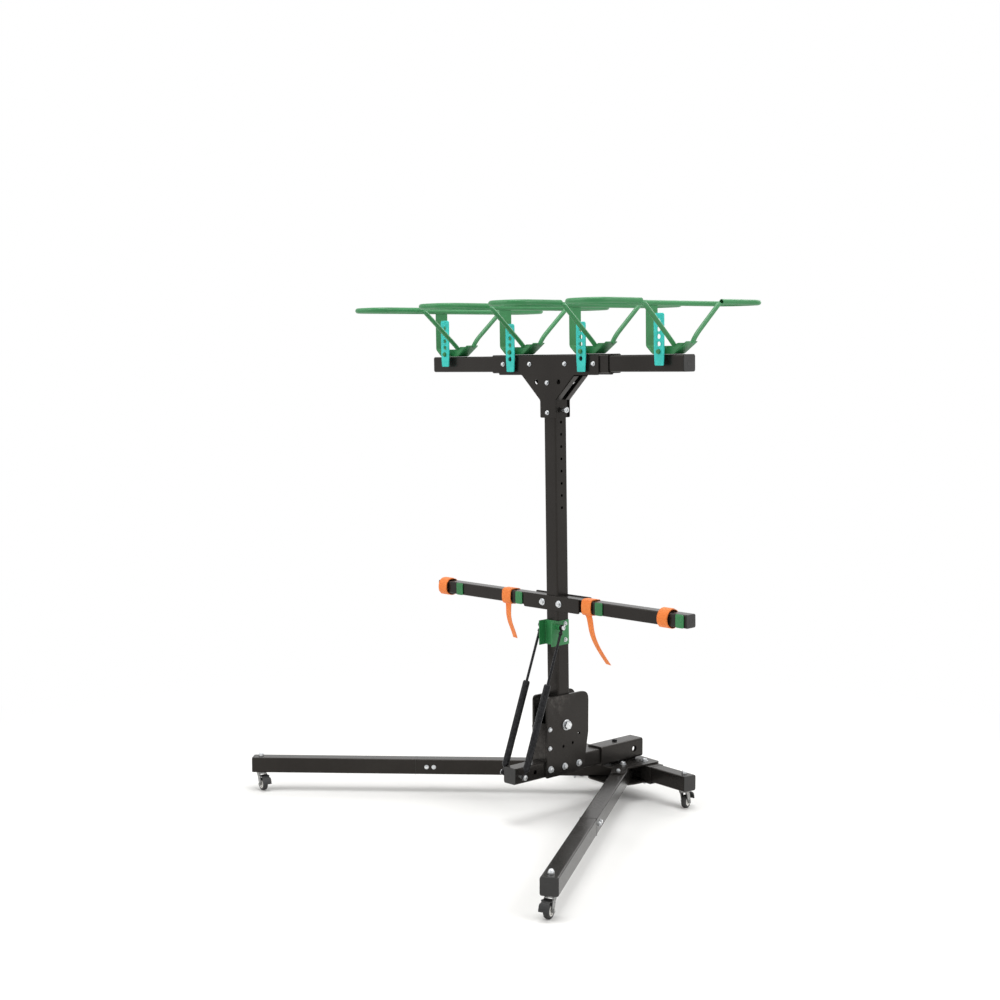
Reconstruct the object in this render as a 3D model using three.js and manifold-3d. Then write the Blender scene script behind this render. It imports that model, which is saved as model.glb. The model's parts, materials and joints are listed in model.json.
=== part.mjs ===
// Two tier bike rack on a rolling base, in millimetres, +Z up, +X along the bars, -Y the bike side.
// The origin is at the middle of the bounding box, at floor level.
import * as THREE from "three";
import { mergeVertices } from "three/addons/utils/BufferGeometryUtils.js";
import Module from "manifold-3d";

const wasm = await Module();
wasm.setup();

// Driving dimensions of the whole rack
const GAP = 0.3;                    // clearance between touching pieces
const CUT = 4;                      // overrun of every cutting solid
const TUBE = 50;                    // square tube of base, mast and crossbar
const WALL = 3;                     // wall of every square tube
const PLATE = 5;                    // thickness of flat steel plates
const BOLT_R = 5;                   // shank radius of the assembly bolts
const HEAD_R = 8.5;                 // bolt head radius
const HEAD_H = 6;                   // bolt head height
const BORE_PLAY = 0.4;              // radial play of a bolt in its hole
const ROUND = 12;                   // sides of round pieces
const HEX = 6;                      // sides of bolt heads and nuts
const CORNER_STEPS = 5;             // facets of a plate's rounded corner

// Casters
const CASTER_STEM_R = 5;
const CASTER_NUT_R = 9;
const CASTER_NUT_H = 8;
const CASTER_PLATE_R = 17;
const CASTER_PLATE_H = 6;
const WHEEL_R = 21;
const WHEEL_W = 17;
const WHEEL_TRAIL = 14;             // axle behind the stem
const AXLE_R = 3;
const WHEEL_PLAY = 1.5;             // wheel to fork cheek
const WHEEL_HEAD = 20;              // wheel top to the underside of the leg tube
const FORK_T = 3;                   // fork cheek thickness
const FORK_W = 26;                  // fork cheek width
const BRAKE_L = 30;
const BRAKE_T = 3;
const BRAKE_WIDE_L = 20;            // the pedal's wide outer part
const CASTER_TURNS = {              // how far each fork stands swivelled, in degrees
  leg_left_caster: 126,
  leg_right_caster: -13,
  rear_left_caster: 0,
  rear_right_caster: 111,
};

// Rolling base
const LEG_Z = 2 * WHEEL_R + WHEEL_HEAD + TUBE / 2; // height of the leg tubes' middle
const LEG_REACH = 1220;             // hub centre to caster stem
const LEG_OVERHANG = 27;            // leg tube past its caster stem
const LEG_START = 38;               // hub centre to the leg's inner end
const LEG_ANGLE = THREE.MathUtils.degToRad(39.4);
const BASE_TURN = THREE.MathUtils.degToRad(-6.7);
const HUB_Y = 323;                  // hub centre behind the mast
const REAR_Y = 24;                  // rear tube behind the hub centre
const REAR_REACH = 249;             // hub centre to the rear caster stems
const HUB_PLATE_X = 190;            // hub plate along the rear tube
const HUB_PLATE_FRONT = 118;        // hub plate ahead of the hub centre
const HUB_PLATE_REAR = 62;          // hub plate behind the hub centre
const HUB_FRONT_HALF = 70;          // half width of the hub plate's front edge
const HUB_CORNER = 26;              // rounded corners of the hub plate
const HUB_BOLT_REACH = 78;          // hub centre to each leg's hub bolt
const REAR_BOLT_X = 62;             // hub bolts of the rear tube, off the middle

// Receiver and stinger
const RECEIVER_WALL = 6;
const RECEIVER = TUBE + 2 * RECEIVER_WALL;
const RECEIVER_RISE = 12;           // receiver's underside over the leg tubes
const RECEIVER_Z = LEG_Z + TUBE / 2 + RECEIVER_RISE + RECEIVER / 2;
const RECEIVER_FRONT = 167;
const RECEIVER_REAR = 367;
const RECEIVER_PIN_Y = 326;
const RECEIVER_PIN_R = 8;
const CLAMP_Y = 262;
const STINGER_FRONT = -217;
const STINGER_REAR = 345;
const BLOCK_HOLE_Y = -129;
const BLOCK_HOLE_R = 7;

// Tilt bracket
const PIVOT_RISE = 131;             // pivot over the stinger's middle
const PIVOT_Z = RECEIVER_Z + PIVOT_RISE;
const PIVOT_R = 10;
const PIVOT_HEAD_R = 15;
const PIVOT_HEAD_H = 12;
const CHEEK_T = 8;
const CHEEK_FRONT = -85;
const CHEEK_REAR = 101;
const CHEEK_TOP = 383;
const CHEEK_CORNER = 30;
const CHEEK_CHAMFER_X = 22;
const CHEEK_CHAMFER_Z = 120;
const CHEEK_BOTTOM_EXTRA = 1;       // cheeks just below the stinger's underside
const FOOT_BOLT_YS = [-70, -7, 57];
const LOCK_RADIUS = 68;
const LOCK_HOLE_R = 5;
const LOCK_ANGLE_SHARES = [0.17, 0.36, 0.56]; // of a half turn, down from +Y
const WEB_TOP = 300;
const WEB_BOLT_ZS = [222, 282];
const WEB_DEPTH = 22;
const LEAN = THREE.MathUtils.degToRad(1.2);

// Gas struts
const STRUT_X = 46;
const STRUT_FOOT_Y = -198;
const STRUT_FOOT_Z = RECEIVER_Z;
const STRUT_TOP_Y = -34;
const STRUT_TOP_Z = 600;
const STRUT_R = 11;
const STRUT_BORE = 4.9;
const STRUT_BODY_L = 292;
const STRUT_ROD_R = 4.5;
const STRUT_NECK_R = 4;
const STRUT_EYE_R = 9;
const STRUT_EYE_T = 10;
const STRUT_PIN_R = 4.2;
const STRUT_ROD_IN = 70;
const BRACKET_H = 78;
const BRACKET_DROP = 59;             // below the struts' top eyes
const BRACKET_T = 3;
const BRACKET_FRONT = 56;
const BRACKET_REAR = 22;

// Mast and lower bar
const MAST_TOP = 1378;
const MAST_FOOT = 236;
const LOWER_BAR = 40;
const LOWER_Z = 674;
const LOWER_HALF = 540;
const LOWER_PLATE_X = 120;
const LOWER_PLATE_Z = 46;
const LOWER_BOLT_X = 36;
const STOP_W = 30;
const STOP_T = 4;
const STOP_SHARES = [-0.742, -0.071, 0.183, 0.94];      // of the bar from the clamp plate to its end
const STRAP_SHARES = [-0.93, -0.203, 0.063, 0.795];     // of the bar from the clamp plate to its end
const STRAP_W = 38;
const STRAP_T = 3;

// Head
const CROSS_Z = 1418;
const CROSS_HALF = 538;
const SLEEVE_WALL = 4;
const SLEEVE = TUBE + 2 * SLEEVE_WALL;
const SLEEVE_HALF = 250;
const COLLAR_FOOT = 1252;
const GUSSET_T = 4;
const GUSSET_TOP_HALF = 215;
const GUSSET_TOP = 1443;
const GUSSET_ARM_HALF = 112;
const GUSSET_ARM_Z = 1384;
const GUSSET_STEM_HALF = 32;
const GUSSET_STEM_Z = 1306;
const GUSSET_BOLT_X = 76;
const SLEEVE_BOLT_X = 195;
const STEM_BOLT_ZS = [1268, 1360];
const SLOT_R = 8;
const SLOT_X = 48;
const SLOT_DROP = 21;               // below the gusset's arms
const PULL_Z = 1276;
const PULL_R = 4;
const PULL_KNOB_R = 9;
const PULL_KNOB_L = 16;
const PULL_OUT = 8;                 // knob off the collar's face at rest
const MAST_HOLE_PITCH = 38;
const MAST_HOLES = 11;
const MAST_HOLES_ABOVE = 2;         // holes above the pull pin at rest

// Wheel baskets
const STATIONS = [-460, -153, 153, 460];
const HOOP_L = 740;
const HOOP_Y = -10;                 // hoop middle off the bar
const HOOP_W = 138;
const HOOP_CORNER = 52;
const HOOP_R = 8;
const HOOP_RISE = 149;              // hoop middle above the bar the basket sits on
const HOOP_X = 5;
const DROP_TOP = 352;
const DROP_Y = -27;
const DROP_IN = 50;                 // front drop rod's foot, in from the cradle's side
const ROD_R = 7;
const CRADLE_LEFT = -40;
const CRADLE_RIGHT = 88;
const CRADLE_W = 50;
const CRADLE_T = 3;
const CRADLE_BEND = 24;
const CRADLE_LIP = 24;
const CRADLE_SIDE = 38;
const RUBBER_W = 38;
const RUBBER_T = 4;
const RUBBER_TOP = 110;             // above the strap's lowest hole
const RUBBER_BOTTOM = -40;
const RUBBER_HOLE_R = 7.5;
const RUBBER_HOLE_PITCH = 21.5;
const RUBBER_HOLES = 5;
const RUBBER_BELOW = [0, 1, 1, 0];  // each strap's holes below its stud
const STUD_RISE = 8;                // stud over the bar the basket sits on
const STUD_R = RUBBER_HOLE_R - 2 * GAP;
const HOOP_STEPS = 44;
const HOOP_SIDES = 7;
const DROP_STEPS = 6;

// Colours, roughness and metalness of each finish
const FINISHES = {
  black: [0x232120, 0.45, 0.2],
  zinc: [0xc9ccd0, 0.3, 0.9],
  green: [0x2d7d46, 0.5, 0.1],
  teal: [0x2fc9bd, 0.6, 0],
  orange: [0xff7314, 0.8, 0],
  rubber: [0x191919, 0.8, 0],
};

const rack = new THREE.Group();

function finish(name) {
  const [color, roughness, metalness] = FINISHES[name];
  return new THREE.MeshStandardMaterial({ color, roughness, metalness });
}

// A closed geometry as a solid that can be joined and cut
function solid(geometry) {
  const bare = geometry.clone();
  for (const extra of ["normal", "uv"]) bare.deleteAttribute(extra);
  const merged = mergeVertices(bare, GAP / 1000);
  return new wasm.Manifold(new wasm.Mesh({
    numProp: 3,
    vertProperties: new Float32Array(merged.attributes.position.array),
    triVerts: new Uint32Array(merged.index.array),
  }));
}

function geometryOf(body) {
  const { vertProperties, triVerts } = body.getMesh();
  const geometry = new THREE.BufferGeometry();
  geometry.setAttribute("position", new THREE.BufferAttribute(new Float32Array(vertProperties), 3));
  geometry.setIndex(new THREE.BufferAttribute(new Uint32Array(triVerts), 1));
  return geometry;
}

// A node of the rack from one solid
function add(group, name, look, body) {
  const mesh = new THREE.Mesh(geometryOf(body), finish(look));
  mesh.name = name;
  group.add(mesh);
  return mesh;
}

function groupAt(parent, x, y, z) {
  const group = new THREE.Group();
  group.position.set(x, y, z);
  parent.add(group);
  return group;
}

// A box between two corners
function box(x0, x1, y0, y1, z0, z1) {
  const geometry = new THREE.BoxGeometry(x1 - x0, y1 - y0, z1 - z0);
  geometry.translate((x0 + x1) / 2, (y0 + y1) / 2, (z0 + z1) / 2);
  return solid(geometry);
}

// A cylinder along an axis, from one place on it to another
function rod(axis, radius, from, to, a = 0, b = 0, sides = ROUND) {
  const geometry = new THREE.CylinderGeometry(radius, radius, to - from, sides);
  const middle = (from + to) / 2;
  if (axis === "x") geometry.rotateZ(-Math.PI / 2).translate(middle, a, b);
  if (axis === "y") geometry.translate(a, middle, b);
  if (axis === "z") geometry.rotateX(Math.PI / 2).translate(a, b, middle);
  return solid(geometry);
}

// A bolt along an axis with a six-sided head at both ends
function bolt(axis, from, to, a, b, shank = BOLT_R, head = HEAD_R, height = HEAD_H) {
  return rod(axis, shank, from - height / 2, to + height / 2, a, b)
    .add(rod(axis, head, from - height, from, a, b, HEX))
    .add(rod(axis, head, to, to + height, a, b, HEX));
}

function hole(axis, shank, from, to, a, b) {
  return rod(axis, shank + BORE_PLAY, from - CUT, to + CUT, a, b);
}

// A square tube along an axis, open at the ends that are asked for
function tube(axis, side, from, to, openFrom = true, openTo = true) {
  const half = side / 2;
  const inner = half - WALL;
  const start = openFrom ? from - CUT : from + WALL;
  const end = openTo ? to + CUT : to - WALL;
  const along = (s, e, h) => ({
    x: () => box(s, e, -h, h, -h, h),
    y: () => box(-h, h, s, e, -h, h),
    z: () => box(-h, h, -h, h, s, e),
  })[axis]();
  return along(from, to, half).subtract(along(start, end, inner));
}

// A flat plate from an outline of corners, each with its rounding radius, drawn in X and Y
function plate(corners, thickness) {
  const shape = new THREE.Shape();
  const count = corners.length;
  corners.forEach(([x, y, radius], i) => {
    const here = new THREE.Vector2(x, y);
    const before = new THREE.Vector2(...corners[(i + count - 1) % count]);
    const after = new THREE.Vector2(...corners[(i + 1) % count]);
    const enter = here.clone().add(before.sub(here).setLength(radius));
    const leave = here.clone().add(after.sub(here).setLength(radius));
    if (i === 0) shape.moveTo(enter.x, enter.y);
    else shape.lineTo(enter.x, enter.y);
    if (radius > 0) shape.quadraticCurveTo(x, y, leave.x, leave.y);
  });
  shape.closePath();
  const settings = { depth: thickness, bevelEnabled: false, curveSegments: CORNER_STEPS };
  return new THREE.ExtrudeGeometry(shape, settings);
}

// A plate drawn in X and Z, its thickness from y outwards along +Y
function uprightPlateXZ(corners, thickness, y) {
  const geometry = plate(corners, thickness).rotateX(Math.PI / 2);
  return solid(geometry.translate(0, y + thickness, 0));
}

// A plate drawn in Y and Z, its thickness from x outwards along +X
function uprightPlateYZ(corners, thickness, x) {
  const geometry = plate(corners, thickness).rotateX(Math.PI / 2).rotateZ(Math.PI / 2);
  return solid(geometry.translate(x, 0, 0));
}

// A round bar along a path of points
function roundBar(points, radius, steps, sides) {
  const section = new THREE.Shape();
  for (let i = 0; i < sides; i += 1) {
    const angle = (i + 0.5) / sides * 2 * Math.PI;
    const [x, y] = [radius * Math.cos(angle), radius * Math.sin(angle)];
    if (i === 0) section.moveTo(x, y);
    else section.lineTo(x, y);
  }
  section.closePath();
  const path = points.length === 2
    ? new THREE.LineCurve3(...points)
    : new THREE.CatmullRomCurve3(points, false, "centripetal");
  return solid(new THREE.ExtrudeGeometry(section, { steps, extrudePath: path, bevelEnabled: false }));
}

const legTop = LEG_Z + TUBE / 2;
const legBottom = LEG_Z - TUBE / 2;
const receiverBottom = RECEIVER_Z - RECEIVER / 2;
const receiverTop = RECEIVER_Z + RECEIVER / 2;
const hubTop = legTop + GAP + PLATE;

// Caster: swivelling fork, wheel and brake pedal, round a stem at the group's own Z axis
function caster(group, name) {
  group.rotation.z += THREE.MathUtils.degToRad(CASTER_TURNS[name]);
  const forkTop = legBottom - GAP - CASTER_PLATE_H;
  const cheek = WHEEL_W / 2 + WHEEL_PLAY;
  const fork = rod("z", CASTER_PLATE_R, forkTop, legBottom - GAP, 0, 0)
    .add(rod("z", CASTER_STEM_R, forkTop, legTop + CASTER_NUT_H + GAP, 0, 0))
    .add(rod("z", CASTER_NUT_R, legTop + GAP, legTop + CASTER_NUT_H, 0, 0, HEX));
  const cheekShape = [
    [-FORK_W / 2, forkTop + CASTER_PLATE_H / 2, 0],
    [-WHEEL_TRAIL - FORK_W / 3, WHEEL_R - FORK_W / 3, FORK_W / 4],
    [-WHEEL_TRAIL + FORK_W / 3, WHEEL_R - FORK_W / 3, FORK_W / 4],
    [FORK_W / 2, forkTop + CASTER_PLATE_H / 2, 0],
  ];
  const axle = rod("x", AXLE_R, -cheek - FORK_T, cheek + FORK_T, -WHEEL_TRAIL, WHEEL_R)
    .add(rod("x", 2 * AXLE_R, -cheek - FORK_T - AXLE_R, -cheek - FORK_T, -WHEEL_TRAIL, WHEEL_R, HEX))
    .add(rod("x", 2 * AXLE_R, cheek + FORK_T, cheek + FORK_T + AXLE_R, -WHEEL_TRAIL, WHEEL_R, HEX));
  const cheeks = uprightPlateYZ(cheekShape, FORK_T, cheek)
    .add(uprightPlateYZ(cheekShape, FORK_T, -cheek - FORK_T));
  add(group, name + "_fork", "zinc", fork.add(cheeks).add(axle));

  const half = WHEEL_W / 2;
  const edge = WHEEL_R / 6;
  const tread = [[AXLE_R + BORE_PLAY, -half], [WHEEL_R - edge, -half], [WHEEL_R, -half + edge],
    [WHEEL_R, half - edge], [WHEEL_R - edge, half], [AXLE_R + BORE_PLAY, half],
    [AXLE_R + BORE_PLAY, -half]].map(([r, h]) => new THREE.Vector2(r, h));
  const wheel = new THREE.LatheGeometry(tread, ROUND).rotateZ(-Math.PI / 2);
  add(group, name + "_wheel", "rubber", solid(wheel.translate(0, -WHEEL_TRAIL, WHEEL_R)));

  const outer = cheek + FORK_T;
  const hinge = legBottom - 2 * CASTER_PLATE_H - BRAKE_T;
  const reach = -WHEEL_TRAIL - WHEEL_R;
  const tip = reach - BRAKE_L / 2;
  const pedal = box(-outer, outer, tip, tip + BRAKE_WIDE_L, hinge, hinge + BRAKE_T)
    .add(box(-cheek + GAP, cheek - GAP, reach, -FORK_W / 2, hinge, hinge + BRAKE_T));
  add(group, name + "_brake", "rubber", pedal);
}

// Leg: one square tube from the hub to its caster, drawn along -Y and closed at the far end
function leg(parent, name, side) {
  const group = groupAt(parent, 0, 0, LEG_Z);
  group.rotation.z = side * LEG_ANGLE;
  let body = tube("y", TUBE, -LEG_REACH - LEG_OVERHANG, -LEG_START, false, true);
  body = body.subtract(hole("z", CASTER_STEM_R, -TUBE / 2, TUBE / 2, 0, -LEG_REACH));
  body = body.subtract(hole("z", BOLT_R, -TUBE / 2, TUBE / 2, 0, -HUB_BOLT_REACH));
  add(group, name, "black", body);
  const stand = groupAt(group, 0, -LEG_REACH, -LEG_Z);
  caster(stand, name + "_caster");
}

function rollingBase() {
  const base = groupAt(rack, 0, HUB_Y, 0);
  base.rotation.z = BASE_TURN;
  leg(base, "leg_left", -1);
  leg(base, "leg_right", 1);

  const rearEnd = REAR_REACH + LEG_OVERHANG;
  let rear = tube("x", TUBE, -rearEnd, rearEnd).translate(0, REAR_Y, LEG_Z);
  for (const side of [-1, 1]) {
    rear = rear.subtract(hole("z", CASTER_STEM_R, legBottom, legTop, side * REAR_REACH, REAR_Y));
    rear = rear.subtract(hole("z", BOLT_R, legBottom, legTop, side * REAR_BOLT_X, REAR_Y));
    const stand = groupAt(base, side * REAR_REACH, REAR_Y, 0);
    stand.rotation.z = side * Math.PI / 2;
    caster(stand, side < 0 ? "rear_left_caster" : "rear_right_caster");
  }
  add(base, "rear_tube", "black", rear);

  const bolts = [];
  for (const side of [-1, 1]) {
    const [x, y] = [side * HUB_BOLT_REACH * Math.sin(LEG_ANGLE), -HUB_BOLT_REACH * Math.cos(LEG_ANGLE)];
    bolts.push([side < 0 ? "hub_bolt_left" : "hub_bolt_right", x, y]);
    bolts.push([null, side * REAR_BOLT_X, REAR_Y]);
  }
  const outline = [
    [-HUB_PLATE_X / 2, HUB_PLATE_REAR, HUB_CORNER / 2], [-HUB_PLATE_X / 2, -HUB_PLATE_REAR, HUB_CORNER],
    [-HUB_FRONT_HALF, -HUB_PLATE_FRONT, HUB_CORNER], [HUB_FRONT_HALF, -HUB_PLATE_FRONT, HUB_CORNER],
    [HUB_PLATE_X / 2, -HUB_PLATE_REAR, HUB_CORNER], [HUB_PLATE_X / 2, HUB_PLATE_REAR, HUB_CORNER / 2],
  ];
  let lower = solid(plate(outline, PLATE)).translate(0, 0, legBottom - GAP - PLATE);
  let upper = solid(plate(outline, PLATE)).translate(0, 0, legTop + GAP);
  for (const [name, x, y] of bolts) {
    const from = legBottom - 2 * GAP - PLATE;
    const cutter = hole("z", BOLT_R, from, hubTop, x, y);
    lower = lower.subtract(cutter);
    upper = upper.subtract(cutter);
    if (name) add(base, name, "zinc", bolt("z", from, hubTop + GAP, x, y));
  }
  add(base, "hub_plate_lower", "black", lower);
  add(base, "hub_plate_upper", "black", upper);
}

// Receiver tube on the hub, with its saddle underneath
function receiver() {
  const half = RECEIVER / 2;
  const bore = TUBE / 2 + 2 * GAP;
  const saddleBottom = hubTop + GAP;
  let body = box(-half, half, RECEIVER_FRONT, RECEIVER_REAR, receiverBottom, receiverTop)
    .add(box(-half / 2, half / 2, HUB_Y - HUB_PLATE_FRONT / 2, HUB_Y + HUB_PLATE_REAR / 2,
      saddleBottom, receiverBottom + WALL));
  body = body.subtract(box(-bore, bore, RECEIVER_FRONT - CUT, RECEIVER_REAR + CUT,
    RECEIVER_Z - bore, RECEIVER_Z + bore));
  body = body.subtract(rod("x", RECEIVER_PIN_R, -half - CUT, half + CUT, RECEIVER_PIN_Y, RECEIVER_Z));
  body = body.add(rod("z", HEAD_R, receiverTop - WALL, receiverTop + HEAD_H, 0, CLAMP_Y, HEX));
  add(rack, "receiver", "black", body);
}

const cheekInner = TUBE / 2 + GAP;
const cheekOuter = cheekInner + CHEEK_T;
const stingerBottom = RECEIVER_Z - TUBE / 2;
const cheekBottom = stingerBottom - CHEEK_BOTTOM_EXTRA;

// Foot: stinger, two cheeks, front web and their bolts
function foot() {
  let stinger = tube("y", TUBE, STINGER_FRONT, STINGER_REAR, false, true).translate(0, 0, RECEIVER_Z);
  stinger = stinger.subtract(rod("x", BLOCK_HOLE_R, -TUBE, TUBE, BLOCK_HOLE_Y, RECEIVER_Z));
  stinger = stinger.subtract(rod("x", RECEIVER_PIN_R, -TUBE, TUBE, RECEIVER_PIN_Y, RECEIVER_Z));
  const outline = [
    [CHEEK_FRONT, cheekBottom, 0], [CHEEK_REAR - CHEEK_CHAMFER_X, cheekBottom, 0],
    [CHEEK_REAR, cheekBottom + CHEEK_CHAMFER_Z, 0], [CHEEK_REAR, CHEEK_TOP, CHEEK_CORNER],
    [CHEEK_FRONT, CHEEK_TOP, CHEEK_CORNER / 2],
  ];
  const cutters = LOCK_ANGLE_SHARES.map((share) => {
    const angle = -share * Math.PI;
    return rod("x", LOCK_HOLE_R, -2 * cheekOuter, 2 * cheekOuter,
      LOCK_RADIUS * Math.cos(angle), PIVOT_Z + LOCK_RADIUS * Math.sin(angle));
  });
  cutters.push(hole("x", PIVOT_R, -cheekOuter, cheekOuter, 0, PIVOT_Z));
  let left = uprightPlateYZ(outline, CHEEK_T, -cheekOuter);
  let right = uprightPlateYZ(outline, CHEEK_T, cheekInner);
  const webHalf = cheekInner - GAP;
  let web = box(-webHalf, webHalf, CHEEK_FRONT, CHEEK_FRONT + WEB_DEPTH,
    stingerBottom + TUBE + GAP, WEB_TOP);
  web = web.subtract(box(-webHalf + WALL, webHalf - WALL, CHEEK_FRONT + WALL, CHEEK_FRONT + WEB_DEPTH + CUT,
    stingerBottom, WEB_TOP + CUT));
  for (const y of FOOT_BOLT_YS) {
    const cutter = hole("x", BOLT_R, -cheekOuter, cheekOuter, y, RECEIVER_Z);
    stinger = stinger.subtract(cutter);
    cutters.push(cutter);
  }
  for (const z of WEB_BOLT_ZS) {
    const y = CHEEK_FRONT + WEB_DEPTH / 2;
    const cutter = hole("x", BOLT_R, -cheekOuter, cheekOuter, y, z);
    web = web.subtract(cutter);
    cutters.push(cutter);
  }
  for (const cutter of cutters) {
    left = left.subtract(cutter);
    right = right.subtract(cutter);
  }
  stinger = stinger.subtract(hole("x", STRUT_PIN_R, -TUBE, TUBE, STRUT_FOOT_Y, STRUT_FOOT_Z));
  add(rack, "stinger", "black", stinger);
  add(rack, "cheek_left", "black", left);
  add(rack, "cheek_right", "black", right);
  add(rack, "front_web", "black", web);
  const pinReach = STRUT_X + STRUT_EYE_T / 2 + GAP;
  add(rack, "strut_foot_pin", "zinc",
    bolt("x", -pinReach, pinReach, STRUT_FOOT_Y, STRUT_FOOT_Z, STRUT_PIN_R, HEAD_R, HEAD_H / 2));
  const pivotReach = cheekOuter + GAP;
  add(rack, "pivot_bolt", "zinc",
    bolt("x", -pivotReach, pivotReach, 0, PIVOT_Z, PIVOT_R, PIVOT_HEAD_R, PIVOT_HEAD_H));
}

// Gas strut: body hinged on the foot pin, rod sliding in it, its top eye free of the mast bracket
function gasStrut(side, name) {
  const run = new THREE.Vector2(STRUT_TOP_Y - STRUT_FOOT_Y, STRUT_TOP_Z - STRUT_FOOT_Z);
  const group = groupAt(rack, side * STRUT_X, STRUT_FOOT_Y, STRUT_FOOT_Z);
  group.rotation.x = Math.atan2(-run.x, run.y);
  const eye = STRUT_EYE_T / 2;
  let body = rod("z", STRUT_R, STRUT_EYE_R + STRUT_R, STRUT_BODY_L, 0, 0)
    .add(rod("z", STRUT_NECK_R, 0, STRUT_EYE_R + STRUT_R + GAP, 0, 0))
    .add(rod("x", STRUT_EYE_R, -eye, eye, 0, 0));
  body = body.subtract(rod("z", STRUT_BORE, STRUT_EYE_R + 2 * STRUT_R, STRUT_BODY_L + CUT, 0, 0));
  body = body.subtract(hole("x", STRUT_PIN_R, -eye, eye, 0, 0));
  add(group, name + "_body", "black", body);
  const topEye = rod("x", STRUT_EYE_R, -eye, eye, 0, run.length());
  const slider = rod("z", STRUT_ROD_R, STRUT_BODY_L - STRUT_ROD_IN, run.length(), 0, 0).add(topEye);
  add(group, name + "_rod", "zinc", slider.subtract(hole("x", STRUT_PIN_R, -eye, eye, 0, run.length())));
}

// Mast, its strut bracket and the lower bar, in a group at the pivot that leans
function mastGroup() {
  const tilt = groupAt(rack, 0, 0, PIVOT_Z);
  tilt.rotation.x = LEAN;
  const frame = groupAt(tilt, 0, 0, -PIVOT_Z);
  let mast = tube("z", TUBE, MAST_FOOT, MAST_TOP);
  mast = mast.subtract(hole("x", PIVOT_R, -TUBE / 2, TUBE / 2, 0, PIVOT_Z));
  for (let i = 0; i < MAST_HOLES; i += 1) {
    const z = PULL_Z + (MAST_HOLES_ABOVE - i) * MAST_HOLE_PITCH;
    mast = mast.subtract(hole("x", PULL_R, 0, TUBE / 2, 0, z));
  }
  add(frame, "mast", "black", mast);

  const inner = TUBE / 2 + GAP;
  const outer = inner + BRACKET_T;
  const bottom = STRUT_TOP_Z - BRACKET_DROP;
  const above = bottom + BRACKET_H + CUT;
  let bracket = box(-outer, outer, -BRACKET_FRONT, BRACKET_REAR, bottom, bottom + BRACKET_H);
  bracket = bracket.subtract(box(-inner, inner, -inner, BRACKET_REAR + CUT, bottom - CUT, above))
    .subtract(box(-inner, inner, -BRACKET_FRONT - CUT, -inner - BRACKET_T, bottom - CUT, above));
  const stubEnd = STRUT_X - STRUT_EYE_T / 2 - 2 * GAP;
  const stubY = STRUT_TOP_Y + (STRUT_TOP_Z - PIVOT_Z) * Math.sin(LEAN);
  bracket = bracket.add(rod("x", STRUT_EYE_R, outer - GAP, stubEnd, stubY, STRUT_TOP_Z))
    .add(rod("x", STRUT_EYE_R, -stubEnd, GAP - outer, stubY, STRUT_TOP_Z));
  add(frame, "strut_bracket", "green", bracket);
  lowerBar(frame);
  head(frame);
}

function lowerBar(frame) {
  const half = LOWER_BAR / 2;
  const inner = TUBE / 2 + GAP;
  for (const side of [-1, 1]) {
    const [from, to] = side < 0 ? [-LOWER_HALF, -inner] : [inner, LOWER_HALF];
    const name = side < 0 ? "left" : "right";
    let bar = tube("x", LOWER_BAR, from, to, side > 0, side < 0).translate(0, 0, LOWER_Z);
    bar = bar.subtract(hole("y", BOLT_R, -half, half, side * LOWER_BOLT_X, LOWER_Z));
    add(frame, "lower_bar_" + name, "black", bar);
  }
  const spacer = inner - half;
  const outline = [
    [-LOWER_PLATE_X, LOWER_Z - LOWER_PLATE_Z / 2, PLATE], [LOWER_PLATE_X, LOWER_Z - LOWER_PLATE_Z / 2, PLATE],
    [LOWER_PLATE_X, LOWER_Z + LOWER_PLATE_Z / 2, PLATE], [-LOWER_PLATE_X, LOWER_Z + LOWER_PLATE_Z / 2, PLATE],
  ];
  for (const side of [-1, 1]) {
    let clamp = uprightPlateXZ(outline, PLATE, side < 0 ? -inner - PLATE : inner);
    for (const end of [-1, 1]) {
      const [near, far] = [end * (inner + PLATE), end * (LOWER_PLATE_X - PLATE)];
      const [x0, x1] = end < 0 ? [far, near] : [near, far];
      const [y0, y1] = side < 0 ? [-inner - GAP, -inner + spacer - GAP] : [inner - spacer + GAP, inner + GAP];
      clamp = clamp.add(box(x0, x1, y0, y1, LOWER_Z - half, LOWER_Z + half));
      const reach = inner + PLATE;
      clamp = clamp.subtract(hole("y", BOLT_R, -reach, reach, end * LOWER_BOLT_X, LOWER_Z));
    }
    add(frame, side < 0 ? "lower_clamp_front" : "lower_clamp_rear", "black", clamp);
  }
  const ring = (x, width, thickness) => {
    const clear = half + GAP;
    const out = clear + thickness;
    return box(x - width / 2, x + width / 2, -out, out, LOWER_Z - out, LOWER_Z + out)
      .subtract(box(x - width, x + width, -clear, clear, LOWER_Z - clear, LOWER_Z + clear));
  };
  const pad = (x) => box(x - STOP_W / 2, x + STOP_W / 2, -half - GAP - STOP_T, -half - GAP,
    LOWER_Z - half, LOWER_Z + half);
  const along = (share) => Math.sign(share) * LOWER_PLATE_X + share * (LOWER_HALF - LOWER_PLATE_X);
  STOP_SHARES.forEach((share, i) => {
    add(frame, "wheel_stop_" + (i + 1), "green", pad(along(share)));
  });
  STRAP_SHARES.forEach((share, i) => {
    add(frame, "wheel_strap_" + (i + 1), "orange", ring(along(share), STRAP_W, STRAP_T));
  });
}

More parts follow.
